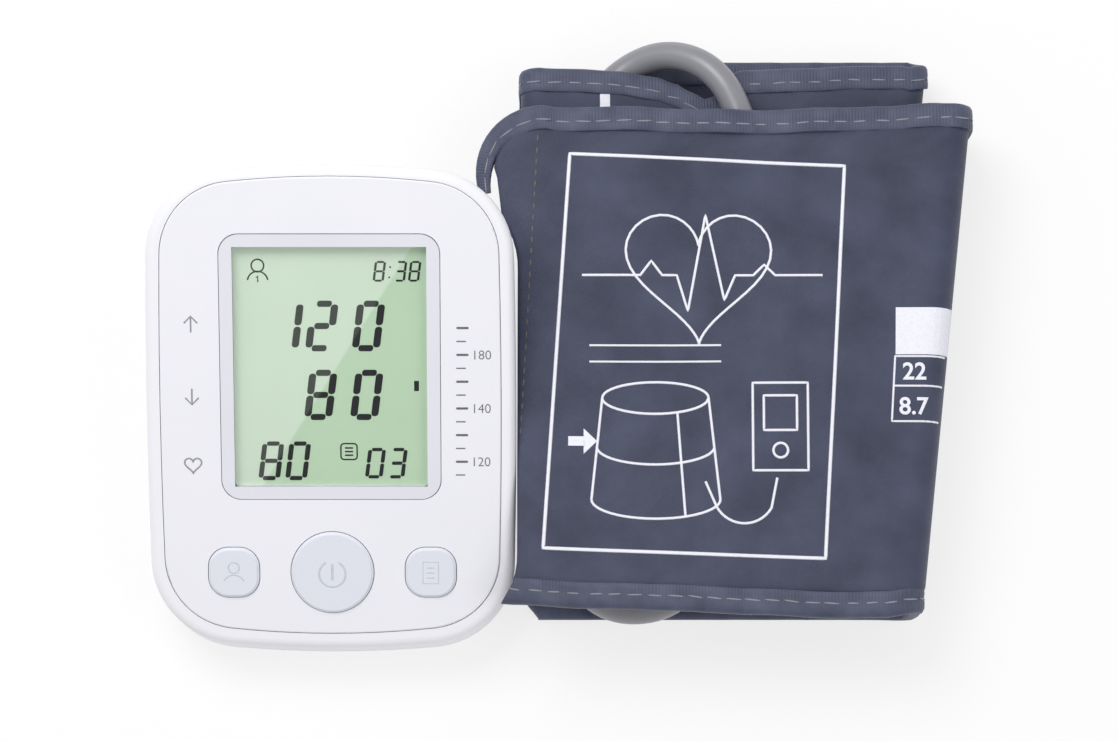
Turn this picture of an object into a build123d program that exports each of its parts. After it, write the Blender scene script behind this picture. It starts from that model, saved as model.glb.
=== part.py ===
from build123d import *
import math
import os

os.makedirs("parts", exist_ok=True)

# Desktop upper arm blood pressure monitor with its folded cuff beside it, in millimetres.
# X runs to the right of someone reading the display, Y away from them and Z up.

# Case: the display face is a rounded rectangle, tilted so that its rear edge is high
case_width = 100.0
face_length = 133.5
face_corner = 24.0
end_bow = 4.0
side_bow = 1.0
face_tilt = 20.0
face_height = 41.0
rim_width = 3.8
rim_depth = 12.0
rim_round = 2.6
case_wall = 2.4
floor_height = 1.0
floor_thickness = 2.0
base_inset = 9.0
base_width = case_width - 2 * base_inset
base_depth = face_length - 17.5
base_shift = -1.5
base_corner = 17.0

# Front cover, seated on a ledge inside the rim
cover_thickness = 2.2
ledge_width = 2.6
ledge_thickness = 1.8
seam_gap = 0.15

# Display, counted along the tilted face from its middle
display_shift = 11.0
lens_width = case_width - 40.5
lens_length = face_length - 60.8
lens_corner = 5.4
lens_thickness = 1.2
border_thickness = 0.25
window_width = lens_width - 7.3
window_length = lens_length - 7.1
glass_margin = 2.0
glass_thickness = 1.8
guide_thickness = 2.4
holder_wall = 1.8
seat_gap = 0.1

# Buttons
button_row = -45.6
start_diameter = 22.5
side_button_width = 13.8
side_button_corner = 5.4
side_button_offset = 0.268 * case_width
button_gap = 0.2
button_proud = 0.9
button_flange = 1.0
flange_reach = 0.8
button_travel = 0.8
stem_radius = 1.6

# Circuit board
board_front = 7.4
board_thickness = 1.6
board_inset = 8.0
board_width = case_width - 2 * board_inset
board_length = face_length - 41.5
board_shift = -4.0
board_screw_x = board_width / 2 - 4.5
board_corner = 8.0
board_screw_rows = (button_row, board_shift + board_length / 2 - 5.0)
switch_size = 6.0
switch_height = 3.2

# Case screws
post_radius = 3.6
post_front_x = 16.0
post_front_y = 16.55 - face_length / 2
post_rear_x = case_width / 2 - 16.0
post_rear_y = face_length / 2 - 19.75
post_web = 2.5
case_screw_radius = 1.5
case_screw_reach = 5.0

# Battery bay, open at the floor
cell_radius = 7.25
cell_length = 50.5
cell_pitch = 15.3
bay_clearance = 0.5
bay_front = 30.5 - base_depth / 2
spring_room = 2.0
bay_wall = 1.2
lid_gap = 0.3
lid_tab_length = 1.6
lid_tab_width = 9.0
contact_thickness = 0.4
touch_gap = 0.05

# Air pump and its motor, lying across the rear of the case
pump_radius = 12.5
pump_length = 26.0
motor_radius = 12.0
motor_length = 28.0
pump_y = base_depth / 2 - 15.6
pump_z = 16.2
shaft_radius = 1.0
running_gap = 0.05

# Air line
tube_radius = 2.3
nipple_radius = 1.25
nipple_length = 5.0
manifold_radius = 2.9
manifold_depth = 20.8
tube_turn_x = 38.0
sensor_row = 12.0
sensor_x = 18.0
valve_radius = 5.5
valve_length = 20.0
valve_travel = 0.8
jack_radius = 5.0
jack_bore_radius = 2.6
jack_bore_length = 12.0

# Feet
foot_radius = 4.0
foot_recess = 0.5
foot_x = base_width / 2 - 10.0
foot_y = base_depth / 2 - 19.7

# Cuff: one band of padded cloth, folded in a flat spiral to the right of the case
cloth = 3.4
tape_width = 7.0
tape_proud = 0.4
layer_gap = 0.3
cuff_width = 141.5
cuff_gap = 0.9
flap_front = -54.8
base_set_back = 1.2
middle_set_back = 13.7
core_set_back = 18.6
fold_x_rear = 176.6
fold_lean = 6.45
fold_corner = 5.0
inner_fold_step = 11.1
core_end = 84.0
flap_corner = 13.5
notch_left = 75.0
notch_right = 108.5
notch_depth = 9.5

# Air hose, a limp tube that lies in the folded cuff
hose_radius = 4.0
plug_length = 17.0
nozzle_radius = 2.5
nozzle_length = 10.0

tilt = math.radians(face_tilt)
face_plane = Plane(
    origin=(0, 0, face_height),
    x_dir=(1, 0, 0),
    z_dir=(0, -math.sin(tilt), math.cos(tilt)),
)
face = face_plane.location
parts = {}


def on_face(u, v, w):
    """Place on the tilted face: u across, v up the face and w out of it."""
    return face * Pos(u, v, w)


def face_block(width, length, corner, top, bottom, u=0.0, v=0.0):
    """Rounded block square to the face, between two heights above it."""
    outline = RectangleRounded(width, length, corner)
    return on_face(u, v, bottom) * extrude(outline, amount=top - bottom)


def face_rod(radius, top, bottom, u=0.0, v=0.0):
    """Round bar square to the face, between two heights above it."""
    return on_face(u, v, bottom) * extrude(Circle(radius), amount=top - bottom)


def rod_x(radius, x0, x1, y, z):
    """Round bar along X."""
    return Pos((x0 + x1) / 2, y, z) * Rot(0, 90, 0) * Cylinder(radius, x1 - x0)


def rod_y(radius, y0, y1, x, z):
    """Round bar along Y."""
    return Pos(x, (y0 + y1) / 2, z) * Rot(90, 0, 0) * Cylinder(radius, y1 - y0)


def rod_z(radius, z0, z1, x, y):
    """Upright round bar."""
    return Pos(x, y, (z0 + z1) / 2) * Cylinder(radius, z1 - z0)


def block(x0, x1, y0, y1, z0, z1):
    """Box from its six limits."""
    size = Box(x1 - x0, y1 - y0, z1 - z0)
    return Pos((x0 + x1) / 2, (y0 + y1) / 2, (z0 + z1) / 2) * size


def face_z(y):
    """Height of the display face at a distance from the middle of the case."""
    return face_height + y * math.tan(tilt)


def bowed(width, length, corner):
    """Outline of the face: a rectangle with gently arched sides and round corners."""
    x, y = width / 2, length / 2
    inner_x, inner_y = x - side_bow, y - end_bow
    outline = ThreePointArc((-inner_x, -inner_y), (0, -y), (inner_x, -inner_y))
    outline += ThreePointArc((inner_x, -inner_y), (x, 0), (inner_x, inner_y))
    outline += ThreePointArc((inner_x, inner_y), (0, y), (-inner_x, inner_y))
    outline += ThreePointArc((-inner_x, inner_y), (-x, 0), (-inner_x, -inner_y))
    sketch = make_face(outline)
    return fillet(sketch.vertices(), corner)


def bowed_block(width, length, corner, top, bottom):
    """Block with the face's outline, square to the face."""
    return on_face(0, 0, bottom) * extrude(bowed(width, length, corner), amount=top - bottom)


def sheared(width, length, corner, top):
    """Prism with upright walls below the tilted face, down to the end of the rim."""
    outline = on_face(0, 0, top) * bowed(width, length, corner)
    drop = rim_depth + top / math.cos(tilt)
    return extrude(outline, amount=drop, dir=(0, 0, -1))


def tapered(width, length, corner, foot_width, foot_depth, foot_round, z):
    """Body between the end of the rim and a flat outline near the table."""
    upper = Pos(0, 0, -rim_depth) * face * bowed(width, length, corner)
    lower = Pos(0, base_shift, z) * RectangleRounded(foot_width, foot_depth, foot_round)
    return loft([lower, upper], ruled=True)


# Case shell
shell = sheared(case_width, face_length, face_corner, 0)
rim_edges = shell.edges().filter_by(
    lambda e: abs(face_plane.to_local_coords(e.center()).Z) < 0.01
)
shell = fillet(rim_edges, rim_round)
shell += tapered(
    case_width, face_length, face_corner, base_width, base_depth, base_corner, floor_height
)
ledge_bottom = -(cover_thickness + ledge_thickness)
cavity = sheared(
    case_width - 2 * case_wall,
    face_length - 2 * case_wall,
    face_corner - case_wall,
    ledge_bottom,
)
cavity += tapered(
    case_width - 2 * case_wall,
    face_length - 2 * case_wall,
    face_corner - case_wall,
    base_width - 2 * case_wall,
    base_depth - 2 * case_wall,
    base_corner - case_wall,
    floor_height + floor_thickness,
)
cover_width = case_width - 2 * rim_width
cover_length = face_length - 2 * rim_width
cover_corner = face_corner - rim_width
shell -= cavity
shell -= bowed_block(cover_width, cover_length, cover_corner, 1.0, -cover_thickness)
shell -= bowed_block(
    cover_width - 2 * ledge_width,
    cover_length - 2 * ledge_width,
    cover_corner - ledge_width,
    0,
    ledge_bottom - 1.0,
)

# Battery bay inside the case
floor_top = floor_height + floor_thickness
bay_half = 2 * cell_pitch + 0.4
bay_length = cell_length + spring_room + 2 * contact_thickness + 2 * touch_gap
bay_rear = bay_front + bay_length
cell_z = floor_top + bay_clearance + cell_radius
bay_roof = cell_z + cell_radius + 0.7
bay_shell = block(
    -bay_half - bay_wall,
    bay_half + bay_wall,
    bay_front - bay_wall,
    bay_rear + bay_wall,
    floor_height,
    bay_roof + bay_wall,
)
bay_space = block(-bay_half, bay_half, bay_front, bay_rear, 0, bay_roof)
shell += bay_shell
shell -= bay_space
tab_pocket_height = 2.4
tab_places = (-cell_pitch, cell_pitch)
for x in tab_places:
    shell -= block(
        x - lid_tab_width / 2 - lid_gap,
        x + lid_tab_width / 2 + lid_gap,
        bay_front - bay_wall - lid_tab_length - 0.6,
        bay_front + 0.1,
        floor_top,
        floor_top + tab_pocket_height + 0.9,
    )

# Upright screw posts, with wells that open at the floor
cover_back = cover_thickness / math.cos(tilt)
posts = [
    (x, y, face_z(y) - cover_back - 8.5)
    for side, y in ((post_front_x, post_front_y), (post_rear_x, post_rear_y))
    for x in (-side, side)
]
for x, y, boss_end in posts:
    shell += rod_z(post_radius, floor_height, boss_end, x, y)
    shell -= rod_z(post_radius - 0.9, 0, boss_end - post_web, x, y)
    shell -= rod_z(case_screw_radius + 0.2, 0, boss_end + 0.1, x, y)

# Air jack hole in the left wall, with a collar inside
manifold_w = -manifold_depth
manifold_y = sensor_row * math.cos(tilt) - manifold_w * math.sin(tilt)
manifold_z = face_height + sensor_row * math.sin(tilt) + manifold_w * math.cos(tilt)
jack_inner = -case_width / 2 + 8.0
shell += rod_x(jack_radius + 2.0, -case_width / 2 + 4.6, jack_inner, manifold_y, manifold_z)
shell -= rod_x(
    jack_radius + seat_gap, -case_width / 2 - 1, jack_inner + 0.1, manifold_y, manifold_z
)

# Power socket opening in the rear wall
port_x = 6.0
port_z = 36.0
port_width = 7.6
port_height = 2.8
port_depth = 6.0
port_y = face_length * math.cos(tilt) / 2 - 2.525
shell -= block(
    port_x - port_width / 2 - seat_gap,
    port_x + port_width / 2 + seat_gap,
    port_y - 5,
    port_y + 5,
    port_z - port_height / 2 - seat_gap,
    port_z + port_height / 2 + seat_gap,
)
shell += block(
    port_x - 10, port_x + 10, port_y - 9.5, port_y - 1.6, port_z - 5.4, port_z - 2.9
)

# Recesses for the feet
for x in (-foot_x, foot_x):
    for y in (-foot_y, foot_y):
        shell -= rod_z(foot_radius + seat_gap, 0, floor_height + foot_recess, x, y)
parts["housing"] = shell

# Front cover with the display recess, button holes and bosses
plate = bowed_block(
    cover_width - 2 * seam_gap,
    cover_length - 2 * seam_gap,
    cover_corner - seam_gap,
    0.3,
    -cover_thickness,
)
plate_edges = plate.edges().filter_by(
    lambda e: abs(face_plane.to_local_coords(e.center()).Z - 0.3) < 0.01
)
plate = fillet(plate_edges, 0.5)
lens_seat = lens_thickness + border_thickness
plate -= face_block(
    lens_width + 2 * seat_gap,
    lens_length + 2 * seat_gap,
    lens_corner + seat_gap,
    1.0,
    0.3 - lens_seat,
    v=display_shift,
)
plate -= face_block(window_width, window_length, 1.0, 1.0, -5.0, v=display_shift)
plate -= face_rod(start_diameter / 2 + button_gap, 1.0, -5.0, v=button_row)
for u in (-side_button_offset, side_button_offset):
    plate -= face_block(
        side_button_width + 2 * button_gap,
        side_button_width + 2 * button_gap,
        side_button_corner + button_gap,
        1.0,
        -5.0,
        u=u,
        v=button_row,
    )
screw_bore = 1.05
for u in (-board_screw_x, board_screw_x):
    for v in board_screw_rows:
        plate += face_rod(2.6, -cover_thickness, -board_front, u, v)
        plate -= face_rod(screw_bore, -board_front + 4.2, -board_front - 1, u, v)
behind_cover = face_block(200, 200, 1, -cover_thickness + 0.2, -60)
for x, y, boss_end in posts:
    plate += rod_z(post_radius - 0.4, boss_end, face_z(y) + 5, x, y) & behind_cover
    plate -= rod_z(case_screw_radius, boss_end - 1, boss_end + case_screw_reach + 0.3, x, y)
parts["front_cover"] = plate

# Lens, its printed border and the display stack
lens_top = 0.3
lens_bottom = lens_top - lens_thickness
parts["display_lens"] = face_block(
    lens_width, lens_length, lens_corner, lens_top, lens_bottom, v=display_shift
)
border = face_block(
    lens_width,
    lens_length,
    lens_corner,
    lens_bottom,
    lens_bottom - border_thickness,
    v=display_shift,
)
border -= face_block(
    window_width, window_length, 1.0, 0, -3, v=display_shift
)
parts["lens_border"] = border

glass_width = window_width + 2 * glass_margin
glass_length = window_length + 2 * glass_margin
glass_bottom = -cover_thickness - glass_thickness
guide_bottom = glass_bottom - guide_thickness
strip_width = 2.4
parts["lcd_glass"] = face_block(
    glass_width, glass_length, 0.6, -cover_thickness, glass_bottom, v=display_shift
)
parts["light_guide"] = face_block(
    glass_width,
    glass_length - strip_width - 2 * seat_gap,
    0.6,
    glass_bottom,
    guide_bottom,
    v=display_shift + strip_width / 2 + seat_gap,
)
parts["lcd_connector"] = face_block(
    glass_width - 6,
    strip_width,
    0.4,
    glass_bottom,
    -board_front,
    v=display_shift - glass_length / 2 + strip_width / 2,
)
holder = face_block(
    glass_width + 2 * seat_gap + 2 * holder_wall,
    glass_length + 2 * seat_gap + 2 * holder_wall,
    2.0,
    -cover_thickness,
    -board_front,
    v=display_shift,
)
holder -= face_block(
    glass_width + 2 * seat_gap,
    glass_length + 2 * seat_gap,
    0.7,
    0,
    guide_bottom,
    v=display_shift,
)
holder -= face_block(
    glass_width - 6 + 2 * seat_gap,
    strip_width + 2 * seat_gap,
    0.4,
    0,
    -board_front - 1,
    v=display_shift - glass_length / 2 + strip_width / 2,
)
holder -= face_block(
    glass_width - 10,
    glass_length - 16,
    2.0,
    0,
    -board_front - 1,
    v=display_shift + 3,
)
parts["lcd_holder"] = holder

# Circuit board and what it carries
board_back = -board_front - board_thickness
board = face_block(
    board_width, board_length, board_corner, -board_front, board_back, v=board_shift
)
for u in (-board_screw_x, board_screw_x):
    for v in board_screw_rows:
        board -= face_rod(1.2, 0, -20, u, v)
parts["main_board"] = board

button_places = (0.0, -side_button_offset, side_button_offset)
switches = Part()
stem_hole = stem_radius + 0.15
for u in button_places:
    switch = face_block(
        switch_size, switch_size, 0.4, -board_front + switch_height, -board_front, u, button_row
    )
    switch -= face_rod(
        stem_hole, 0, -board_front + switch_height - button_travel - 0.6, u, button_row
    )
    switches += switch
parts["tact_switches"] = switches

parts["controller_chip"] = face_block(14, 14, 0.3, board_back, board_back - 1.4, 4, -18)
cans = Part()
for u in (24.0, 32.0):
    cans += face_rod(2.5, board_back, board_back - 5.0, u, -40)
parts["capacitors"] = cans
parts["buzzer"] = face_rod(5.5, board_back, board_back - 4.0, -22, -42)

board_screws = Part()
for u in (-board_screw_x, board_screw_x):
    for v in board_screw_rows:
        screw = face_rod(screw_bore - 0.05, -board_front + 4.0, board_back, u, v)
        screw += face_rod(2.0, board_back, board_back - 1.4, u, v)
        screw -= face_block(2.6, 0.5, 0.2, board_back - 0.9, board_back - 2, u, v)
        board_screws += screw
parts["board_screws"] = board_screws

case_screws = Part()
for x, y, boss_end in posts:
    seat = boss_end - post_web
    screw = rod_z(case_screw_radius - 0.05, seat, boss_end + case_screw_reach, x, y)
    screw += rod_z(2.5, seat - 1.8, seat, x, y)
    screw -= Pos(x, y, seat - 1.8) * Box(3.2, 0.7, 1.6)
    screw -= Pos(x, y, seat - 1.8) * Box(0.7, 3.2, 1.6)
    case_screws += screw
parts["case_screws"] = case_screws

# Buttons: cap, flange behind the cover and a stem that reaches the switch
flange_top = -cover_thickness - seat_gap
stem_end = -board_front + switch_height - 0.5


def button(cap, flange, u):
    """Cap with a dished bevel, its flange and its stem."""
    top_edges = cap.edges().filter_by(
        lambda e: abs(face_plane.to_local_coords(e.center()).Z - 0.3 - button_proud) < 0.01
    )
    body = chamfer(top_edges, 0.7)
    body += flange
    body += face_rod(stem_radius, flange_top, stem_end, u, button_row)
    return body


parts["start_button"] = button(
    face_rod(start_diameter / 2, 0.3 + button_proud, flange_top, 0, button_row),
    face_rod(
        start_diameter / 2 + flange_reach, flange_top, flange_top - button_flange, 0, button_row
    ),
    0.0,
)
for name, u in (("user_button", -side_button_offset), ("memory_button", side_button_offset)):
    parts[name] = button(
        face_block(
            side_button_width,
            side_button_width,
            side_button_corner,
            0.3 + button_proud,
            flange_top,
            u,
            button_row,
        ),
        face_block(
            side_button_width + 2 * flange_reach,
            side_button_width - 4.0,
            1.0,
            flange_top,
            flange_top - button_flange,
            u,
            button_row,
        ),
        u,
    )

# Pressure sensor on the back of the board
sensor_bottom = board_back - 5.0
sensor = face_block(9, 9, 0.5, board_back, sensor_bottom, sensor_x, sensor_row)
sensor += face_rod(nipple_radius, sensor_bottom, sensor_bottom - 2.0, sensor_x, sensor_row)
parts["pressure_sensor"] = sensor

# Air manifold, valve, jack and pump
manifold_left = -6.0
manifold_right = 23.0
manifold = rod_x(manifold_radius, manifold_left, manifold_right, manifold_y, manifold_z)
manifold += rod_x(
    nipple_radius,
    manifold_left - nipple_length,
    manifold_right + nipple_length,
    manifold_y,
    manifold_z,
)
manifold += face_rod(nipple_radius, manifold_w + 4.5, manifold_w, sensor_x, sensor_row)
valve_x = 4.0
valve_y = 4.0
manifold += rod_y(
    nipple_radius, manifold_y - manifold_radius - nipple_length, manifold_y, valve_x, manifold_z
)
parts["air_manifold"] = manifold

valve_right = -11.0
valve_left = valve_right - valve_length
valve_wall = 1.4
valve = rod_x(valve_radius, valve_left, valve_right, valve_y, manifold_z)
valve -= rod_x(
    1.5 + running_gap, valve_left - 1, valve_right - valve_wall, valve_y, manifold_z
)
valve += rod_x(nipple_radius, valve_right, valve_right + nipple_length, valve_y, manifold_z)
parts["valve_coil"] = valve
plunger = rod_x(
    1.5, valve_left - 2.5, valve_right - valve_wall - valve_travel - 0.2, valve_y, manifold_z
)
plunger += rod_x(2.6, valve_left - 3.3, valve_left - 2.5, valve_y, manifold_z)
parts["valve_plunger"] = plunger

jack = rod_x(jack_radius, -case_width / 2 + 0.6, jack_inner, manifold_y, manifold_z)
jack += rod_x(jack_radius + 1.6, jack_inner, jack_inner + 1.4, manifold_y, manifold_z)
jack_end = -case_width / 2 + 0.6 + jack_bore_length + 2.0
jack += rod_x(jack_radius - 1.0, jack_inner, jack_end, manifold_y, manifold_z)
jack += rod_x(nipple_radius, jack_end, jack_end + nipple_length, manifold_y, manifold_z)
jack -= rod_x(
    jack_bore_radius,
    -case_width / 2,
    -case_width / 2 + 0.6 + jack_bore_length,
    manifold_y,
    manifold_z,
)
parts["air_jack"] = jack

motor_left = -28.5
motor_right = motor_left + motor_length
can_wall = 1.0
can = rod_x(motor_radius, motor_left, motor_right, pump_y, pump_z)
can -= rod_x(
    motor_radius - can_wall, motor_left + can_wall, motor_right - can_wall, pump_y, pump_z
)
can -= rod_x(shaft_radius + running_gap, motor_left - 1, motor_right + 1, pump_y, pump_z)
parts["pump_motor"] = can

head_right = motor_right + pump_length
head = rod_x(pump_radius, motor_right, head_right, pump_y, pump_z)
head -= rod_x(9.0, motor_right + 3.0, head_right - 8.0, pump_y, pump_z)
head -= rod_x(shaft_radius + running_gap, motor_right - 1, motor_right + 4.0, pump_y, pump_z)
nozzle_y = pump_y - 7.0
nozzle_z = pump_z + 5.0
head += rod_x(nipple_radius, head_right, head_right + nipple_length, nozzle_y, nozzle_z)
parts["pump_head"] = head

rotor = rod_x(shaft_radius, motor_left - 0.5, motor_right + 4.0, pump_y, pump_z)
rotor += rod_x(
    motor_radius - can_wall - 1.6, motor_left + 4.0, motor_right - 5.0, pump_y, pump_z
)
rotor += rod_x(4.5, motor_right + 4.0, motor_right + 11.0, pump_y + 1.4, pump_z)
parts["pump_rotor"] = rotor

# Silicone tubes between the nipples
tube_bore = nipple_radius + 0.03


def air_tube(points, radii):
    """Hollow tube along straight runs joined by bends."""
    if radii:
        line = FilletPolyline(*points, radius=radii)
    else:
        line = Line(*points)
    start = Plane(origin=line @ 0, z_dir=line % 0)
    wall = start * (Circle(tube_radius) - Circle(tube_bore))
    return sweep(wall, path=line)


tubes = air_tube(
    [(jack_end, manifold_y, manifold_z), (manifold_left, manifold_y, manifold_z)], None
)
tubes += air_tube(
    [
        (valve_right, valve_y, manifold_z),
        (valve_x, valve_y, manifold_z),
        (valve_x, manifold_y - manifold_radius, manifold_z),
    ],
    [4.0],
)
tubes += air_tube(
    [
        (manifold_right, manifold_y, manifold_z),
        (tube_turn_x, manifold_y, manifold_z),
        (tube_turn_x, nozzle_y, nozzle_z),
        (head_right, nozzle_y, nozzle_z),
    ],
    [4.0, 4.0],
)
sensor_tube = face_rod(
    tube_radius, sensor_bottom, manifold_w + manifold_radius, sensor_x, sensor_row
)
sensor_tube -= face_rod(tube_bore, 0, -40, sensor_x, sensor_row)
tubes += sensor_tube
parts["air_tubes"] = tubes

# Power socket on its small board
port = block(
    port_x - port_width / 2,
    port_x + port_width / 2,
    port_y - port_depth,
    port_y,
    port_z - port_height / 2,
    port_z + port_height / 2,
)
port -= block(
    port_x - port_width / 2 + 0.5,
    port_x + port_width / 2 - 0.5,
    port_y - port_depth + 1,
    port_y + 1,
    port_z - port_height / 2 + 0.5,
    port_z + port_height / 2 - 0.5,
)
port += block(port_x - 2.6, port_x + 2.6, port_y - 5.2, port_y - 1, port_z - 0.3, port_z + 0.3)
parts["power_port"] = port
parts["port_board"] = block(
    port_x - 8,
    port_x + 8,
    port_y - 11.5,
    port_y - 3.2,
    port_z - 2.9,
    port_z - port_height / 2,
)

# Cells, springs and contact plates
cells = Part()
springs = Part()
plates = Part()
nub = 1.3
for i in range(4):
    x = (i - 1.5) * cell_pitch
    nub_at_rear = i % 2 == 0
    room = spring_room if nub_at_rear else 0.0
    front = bay_front + contact_thickness + touch_gap + room
    barrel_front = front if nub_at_rear else front + nub
    cell = rod_y(cell_radius, barrel_front, barrel_front + cell_length - nub, x, cell_z)
    cell += rod_y(2.7, front, front + cell_length, x, cell_z)
    cells += cell
    flat_end = front if nub_at_rear else front + cell_length
    away = -1 if nub_at_rear else 1
    for step, ring in enumerate((2.4, 3.2, 4.0)):
        y = flat_end + away * (0.55 + 0.45 * step)
        springs += Pos(x, y, cell_z) * Rot(90, 0, 0) * Torus(ring, 0.5)
for side in (0, 1):
    wall_y = bay_front if side == 0 else bay_rear - contact_thickness
    for i in range(4):
        x = (i - 1.5) * cell_pitch
        plates += block(
            x - 5.5, x + 5.5, wall_y, wall_y + contact_thickness, cell_z - 5.5, cell_z + 5.5
        )
parts["battery_cells"] = cells
parts["battery_springs"] = springs
parts["contact_plates"] = plates

# Battery lid with two tabs at its front edge and a finger notch at the rear
lid_front = bay_front + lid_gap
lid = block(
    -bay_half + lid_gap,
    bay_half - lid_gap,
    lid_front,
    bay_rear - lid_gap,
    floor_height,
    floor_top,
)
for x in tab_places:
    lid += block(
        x - lid_tab_width / 2,
        x + lid_tab_width / 2,
        bay_front - lid_tab_length,
        lid_front + 1.2,
        floor_top + 0.25,
        floor_top + 1.2,
    )
    lid += block(
        x - lid_tab_width / 2, x + lid_tab_width / 2, lid_front, lid_front + 1.2, floor_top - 0.5,
        floor_top + 1.2,
    )
for x in range(-12, 13, 4):
    lid -= block(x - 0.8, x + 0.8, bay_rear - 12, bay_rear - 5, 0, floor_height + 0.6)
parts["battery_lid"] = lid

feet = Part()
for x in (-foot_x, foot_x):
    for y in (-foot_y, foot_y):
        feet += rod_z(foot_radius, 0, floor_height + foot_recess, x, y)
parts["rubber_feet"] = feet

# Cuff layers, counted up from the table
base_z = tape_proud
core_z = base_z + cloth + tape_proud + layer_gap + tape_proud
hose_z = core_z + cloth + tape_proud + layer_gap + hose_radius
middle_z = hose_z + hose_radius + layer_gap + tape_proud
upper_hose_z = middle_z + cloth + tape_proud + layer_gap + hose_radius
flap_z = upper_hose_z + hose_radius + layer_gap + tape_proud
flap_top = flap_z + cloth
middle_top = middle_z + cloth
cuff_left = case_width / 2 + cuff_gap
lean = math.tan(math.radians(fold_lean))
flap_rear = flap_front + cuff_width


def fold_x(y, step=0.0):
    """Outermost X of the leaning right fold at Y."""
    return fold_x_rear + (y - flap_rear) * lean - step


def panel(x_left, front, rear, z0, z1, step=0.0, corner=None):
    """Flat layer from a straight left edge to the leaning fold."""
    corner = fold_corner if corner is None else corner
    outline = Polyline(
        (x_left, front),
        (fold_x(front, step) - corner, front),
        (fold_x(rear, step) - corner, rear),
        (x_left, rear),
        close=True,
    )
    return Pos(0, 0, z0) * extrude(make_face(outline), amount=z1 - z0)


def squared_fold(x_outer, y, length, z0, z1, corner, slope, side):
    """Fold of the cloth: a square U with rounded corners, swept along Y."""
    height = z1 - z0
    width = 4 * corner
    ring = RectangleRounded(width, height, corner) - RectangleRounded(
        width - 2 * cloth, height - 2 * cloth, max(corner - cloth, 0.3)
    )
    ring -= Pos(-side * (corner), 0) * Rectangle(width, height + 1)
    start = Plane(
        origin=(x_outer - side * width / 2, y, (z0 + z1) / 2), x_dir=(1, 0, 0), z_dir=(0, -1, 0)
    )
    return extrude(start * ring, amount=length * math.hypot(1, slope), dir=(slope, 1, 0))


def banded(x_left, front, z, step=0.0, x_rear=None):
    """Layer of cloth between its two edge tapes."""
    rear = front + cuff_width
    cloth_part = panel(x_left, front + tape_width, rear - tape_width, z, z + cloth, step)
    low, high = z - tape_proud, z + cloth + tape_proud
    near = panel(x_left, front, front + tape_width, low, high, step)
    far = panel(x_left, rear - tape_width, rear, low, high, step)
    return cloth_part, near, far


# Bottom layer and the left fold that climbs to the middle layer
base_front = flap_front + base_set_back
middle_front = flap_front + middle_set_back
core_front = flap_front + core_set_back
left_flat = cuff_left + fold_corner
base_cloth, base_near, base_far = banded(left_flat, base_front, base_z)
parts["base_layer"] = base_cloth

parts["left_fold"] = squared_fold(
    cuff_left,
    base_front,
    middle_front - base_front + cuff_width,
    base_z,
    middle_top,
    fold_corner,
    0,
    -1,
)

# Middle layer, with room in its rear edge for the hose
middle_cloth, middle_near, middle_far = banded(left_flat, middle_front, middle_z, inner_fold_step)
middle_rear = middle_front + cuff_width
notch = block(
    notch_left, notch_right, middle_rear - notch_depth, middle_rear + 5, middle_z - 2, middle_z + 9
)
inner_notch = block(
    notch_left,
    notch_right,
    middle_rear - notch_depth - tape_width,
    middle_rear + 5,
    middle_z - 2,
    middle_z + 9,
)
middle_cloth -= inner_notch
middle_far -= notch
middle_far += (
    block(
        notch_left,
        notch_right,
        middle_rear - notch_depth - tape_width,
        middle_rear - notch_depth,
        middle_z - tape_proud,
        middle_z + cloth + tape_proud,
    )
)
bladder_margin = 3.0
bladder_thickness = 1.4
bladder_space = block(
    left_flat + bladder_margin,
    fold_x(middle_front, inner_fold_step) - fold_corner - bladder_margin,
    middle_front + tape_width + bladder_margin,
    middle_rear - notch_depth - tape_width - bladder_margin,
    middle_z + 0.9,
    middle_z + 0.9 + bladder_thickness + 0.2,
)
middle_cloth -= bladder_space
parts["middle_layer"] = middle_cloth
parts["bladder"] = block(
    left_flat + bladder_margin + 0.3,
    fold_x(middle_front, inner_fold_step) - fold_corner - bladder_margin - 0.3,
    middle_front + tape_width + bladder_margin + 0.3,
    middle_rear - notch_depth - tape_width - bladder_margin - 0.3,
    middle_z + 0.95,
    middle_z + 0.95 + bladder_thickness,
)
parts["inner_fold"] = squared_fold(
    fold_x(middle_front, inner_fold_step),
    middle_front,
    cuff_width,
    core_z,
    middle_top,
    fold_corner,
    lean,
    1,
)

# Core layer, whose free end holds the metal ring
core_cloth, core_near, core_far = banded(core_end, core_front, core_z, inner_fold_step)
parts["core_layer"] = core_cloth
band_tape = base_near + base_far + middle_near + middle_far + core_near + core_far
parts["band_tape"] = band_tape

# Flap on top: it carries the print and ends in a loose tail of tape
flap_left = cuff_left - 4.9
tail_x = flap_left + flap_corner
flap_cloth = panel(flap_left, flap_front + tape_width, flap_rear - tape_width, flap_z, flap_top)
corner_edge = flap_cloth.edges().filter_by(Axis.Z).sort_by(Axis.X)[:2].sort_by(Axis.Y)[-1]
flap_cloth = fillet(corner_edge, flap_corner)
case_reach = face_length * math.cos(tilt) + 2 * cuff_gap
case_plan = extrude(
    RectangleRounded(case_width + 2 * cuff_gap, case_reach, face_corner - 1.0),
    amount=flap_top + 10,
)
flap_cloth -= case_plan
parts["flap"] = flap_cloth
tape_low, tape_high = flap_z - tape_proud, flap_top + tape_proud
flap_near = panel(flap_left, flap_front, flap_front + tape_width, tape_low, tape_high)
flap_near -= case_plan
flap_far = panel(tail_x, flap_rear - tape_width, flap_rear, tape_low, tape_high)
tail_outer = flap_corner + tape_width
tail_center = flap_rear - tail_outer
tail = rod_z(tail_outer, tape_low, tape_high, tail_x, tail_center)
tail -= rod_z(flap_corner, tape_low - 1, tape_high + 1, tail_x, tail_center)
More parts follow.
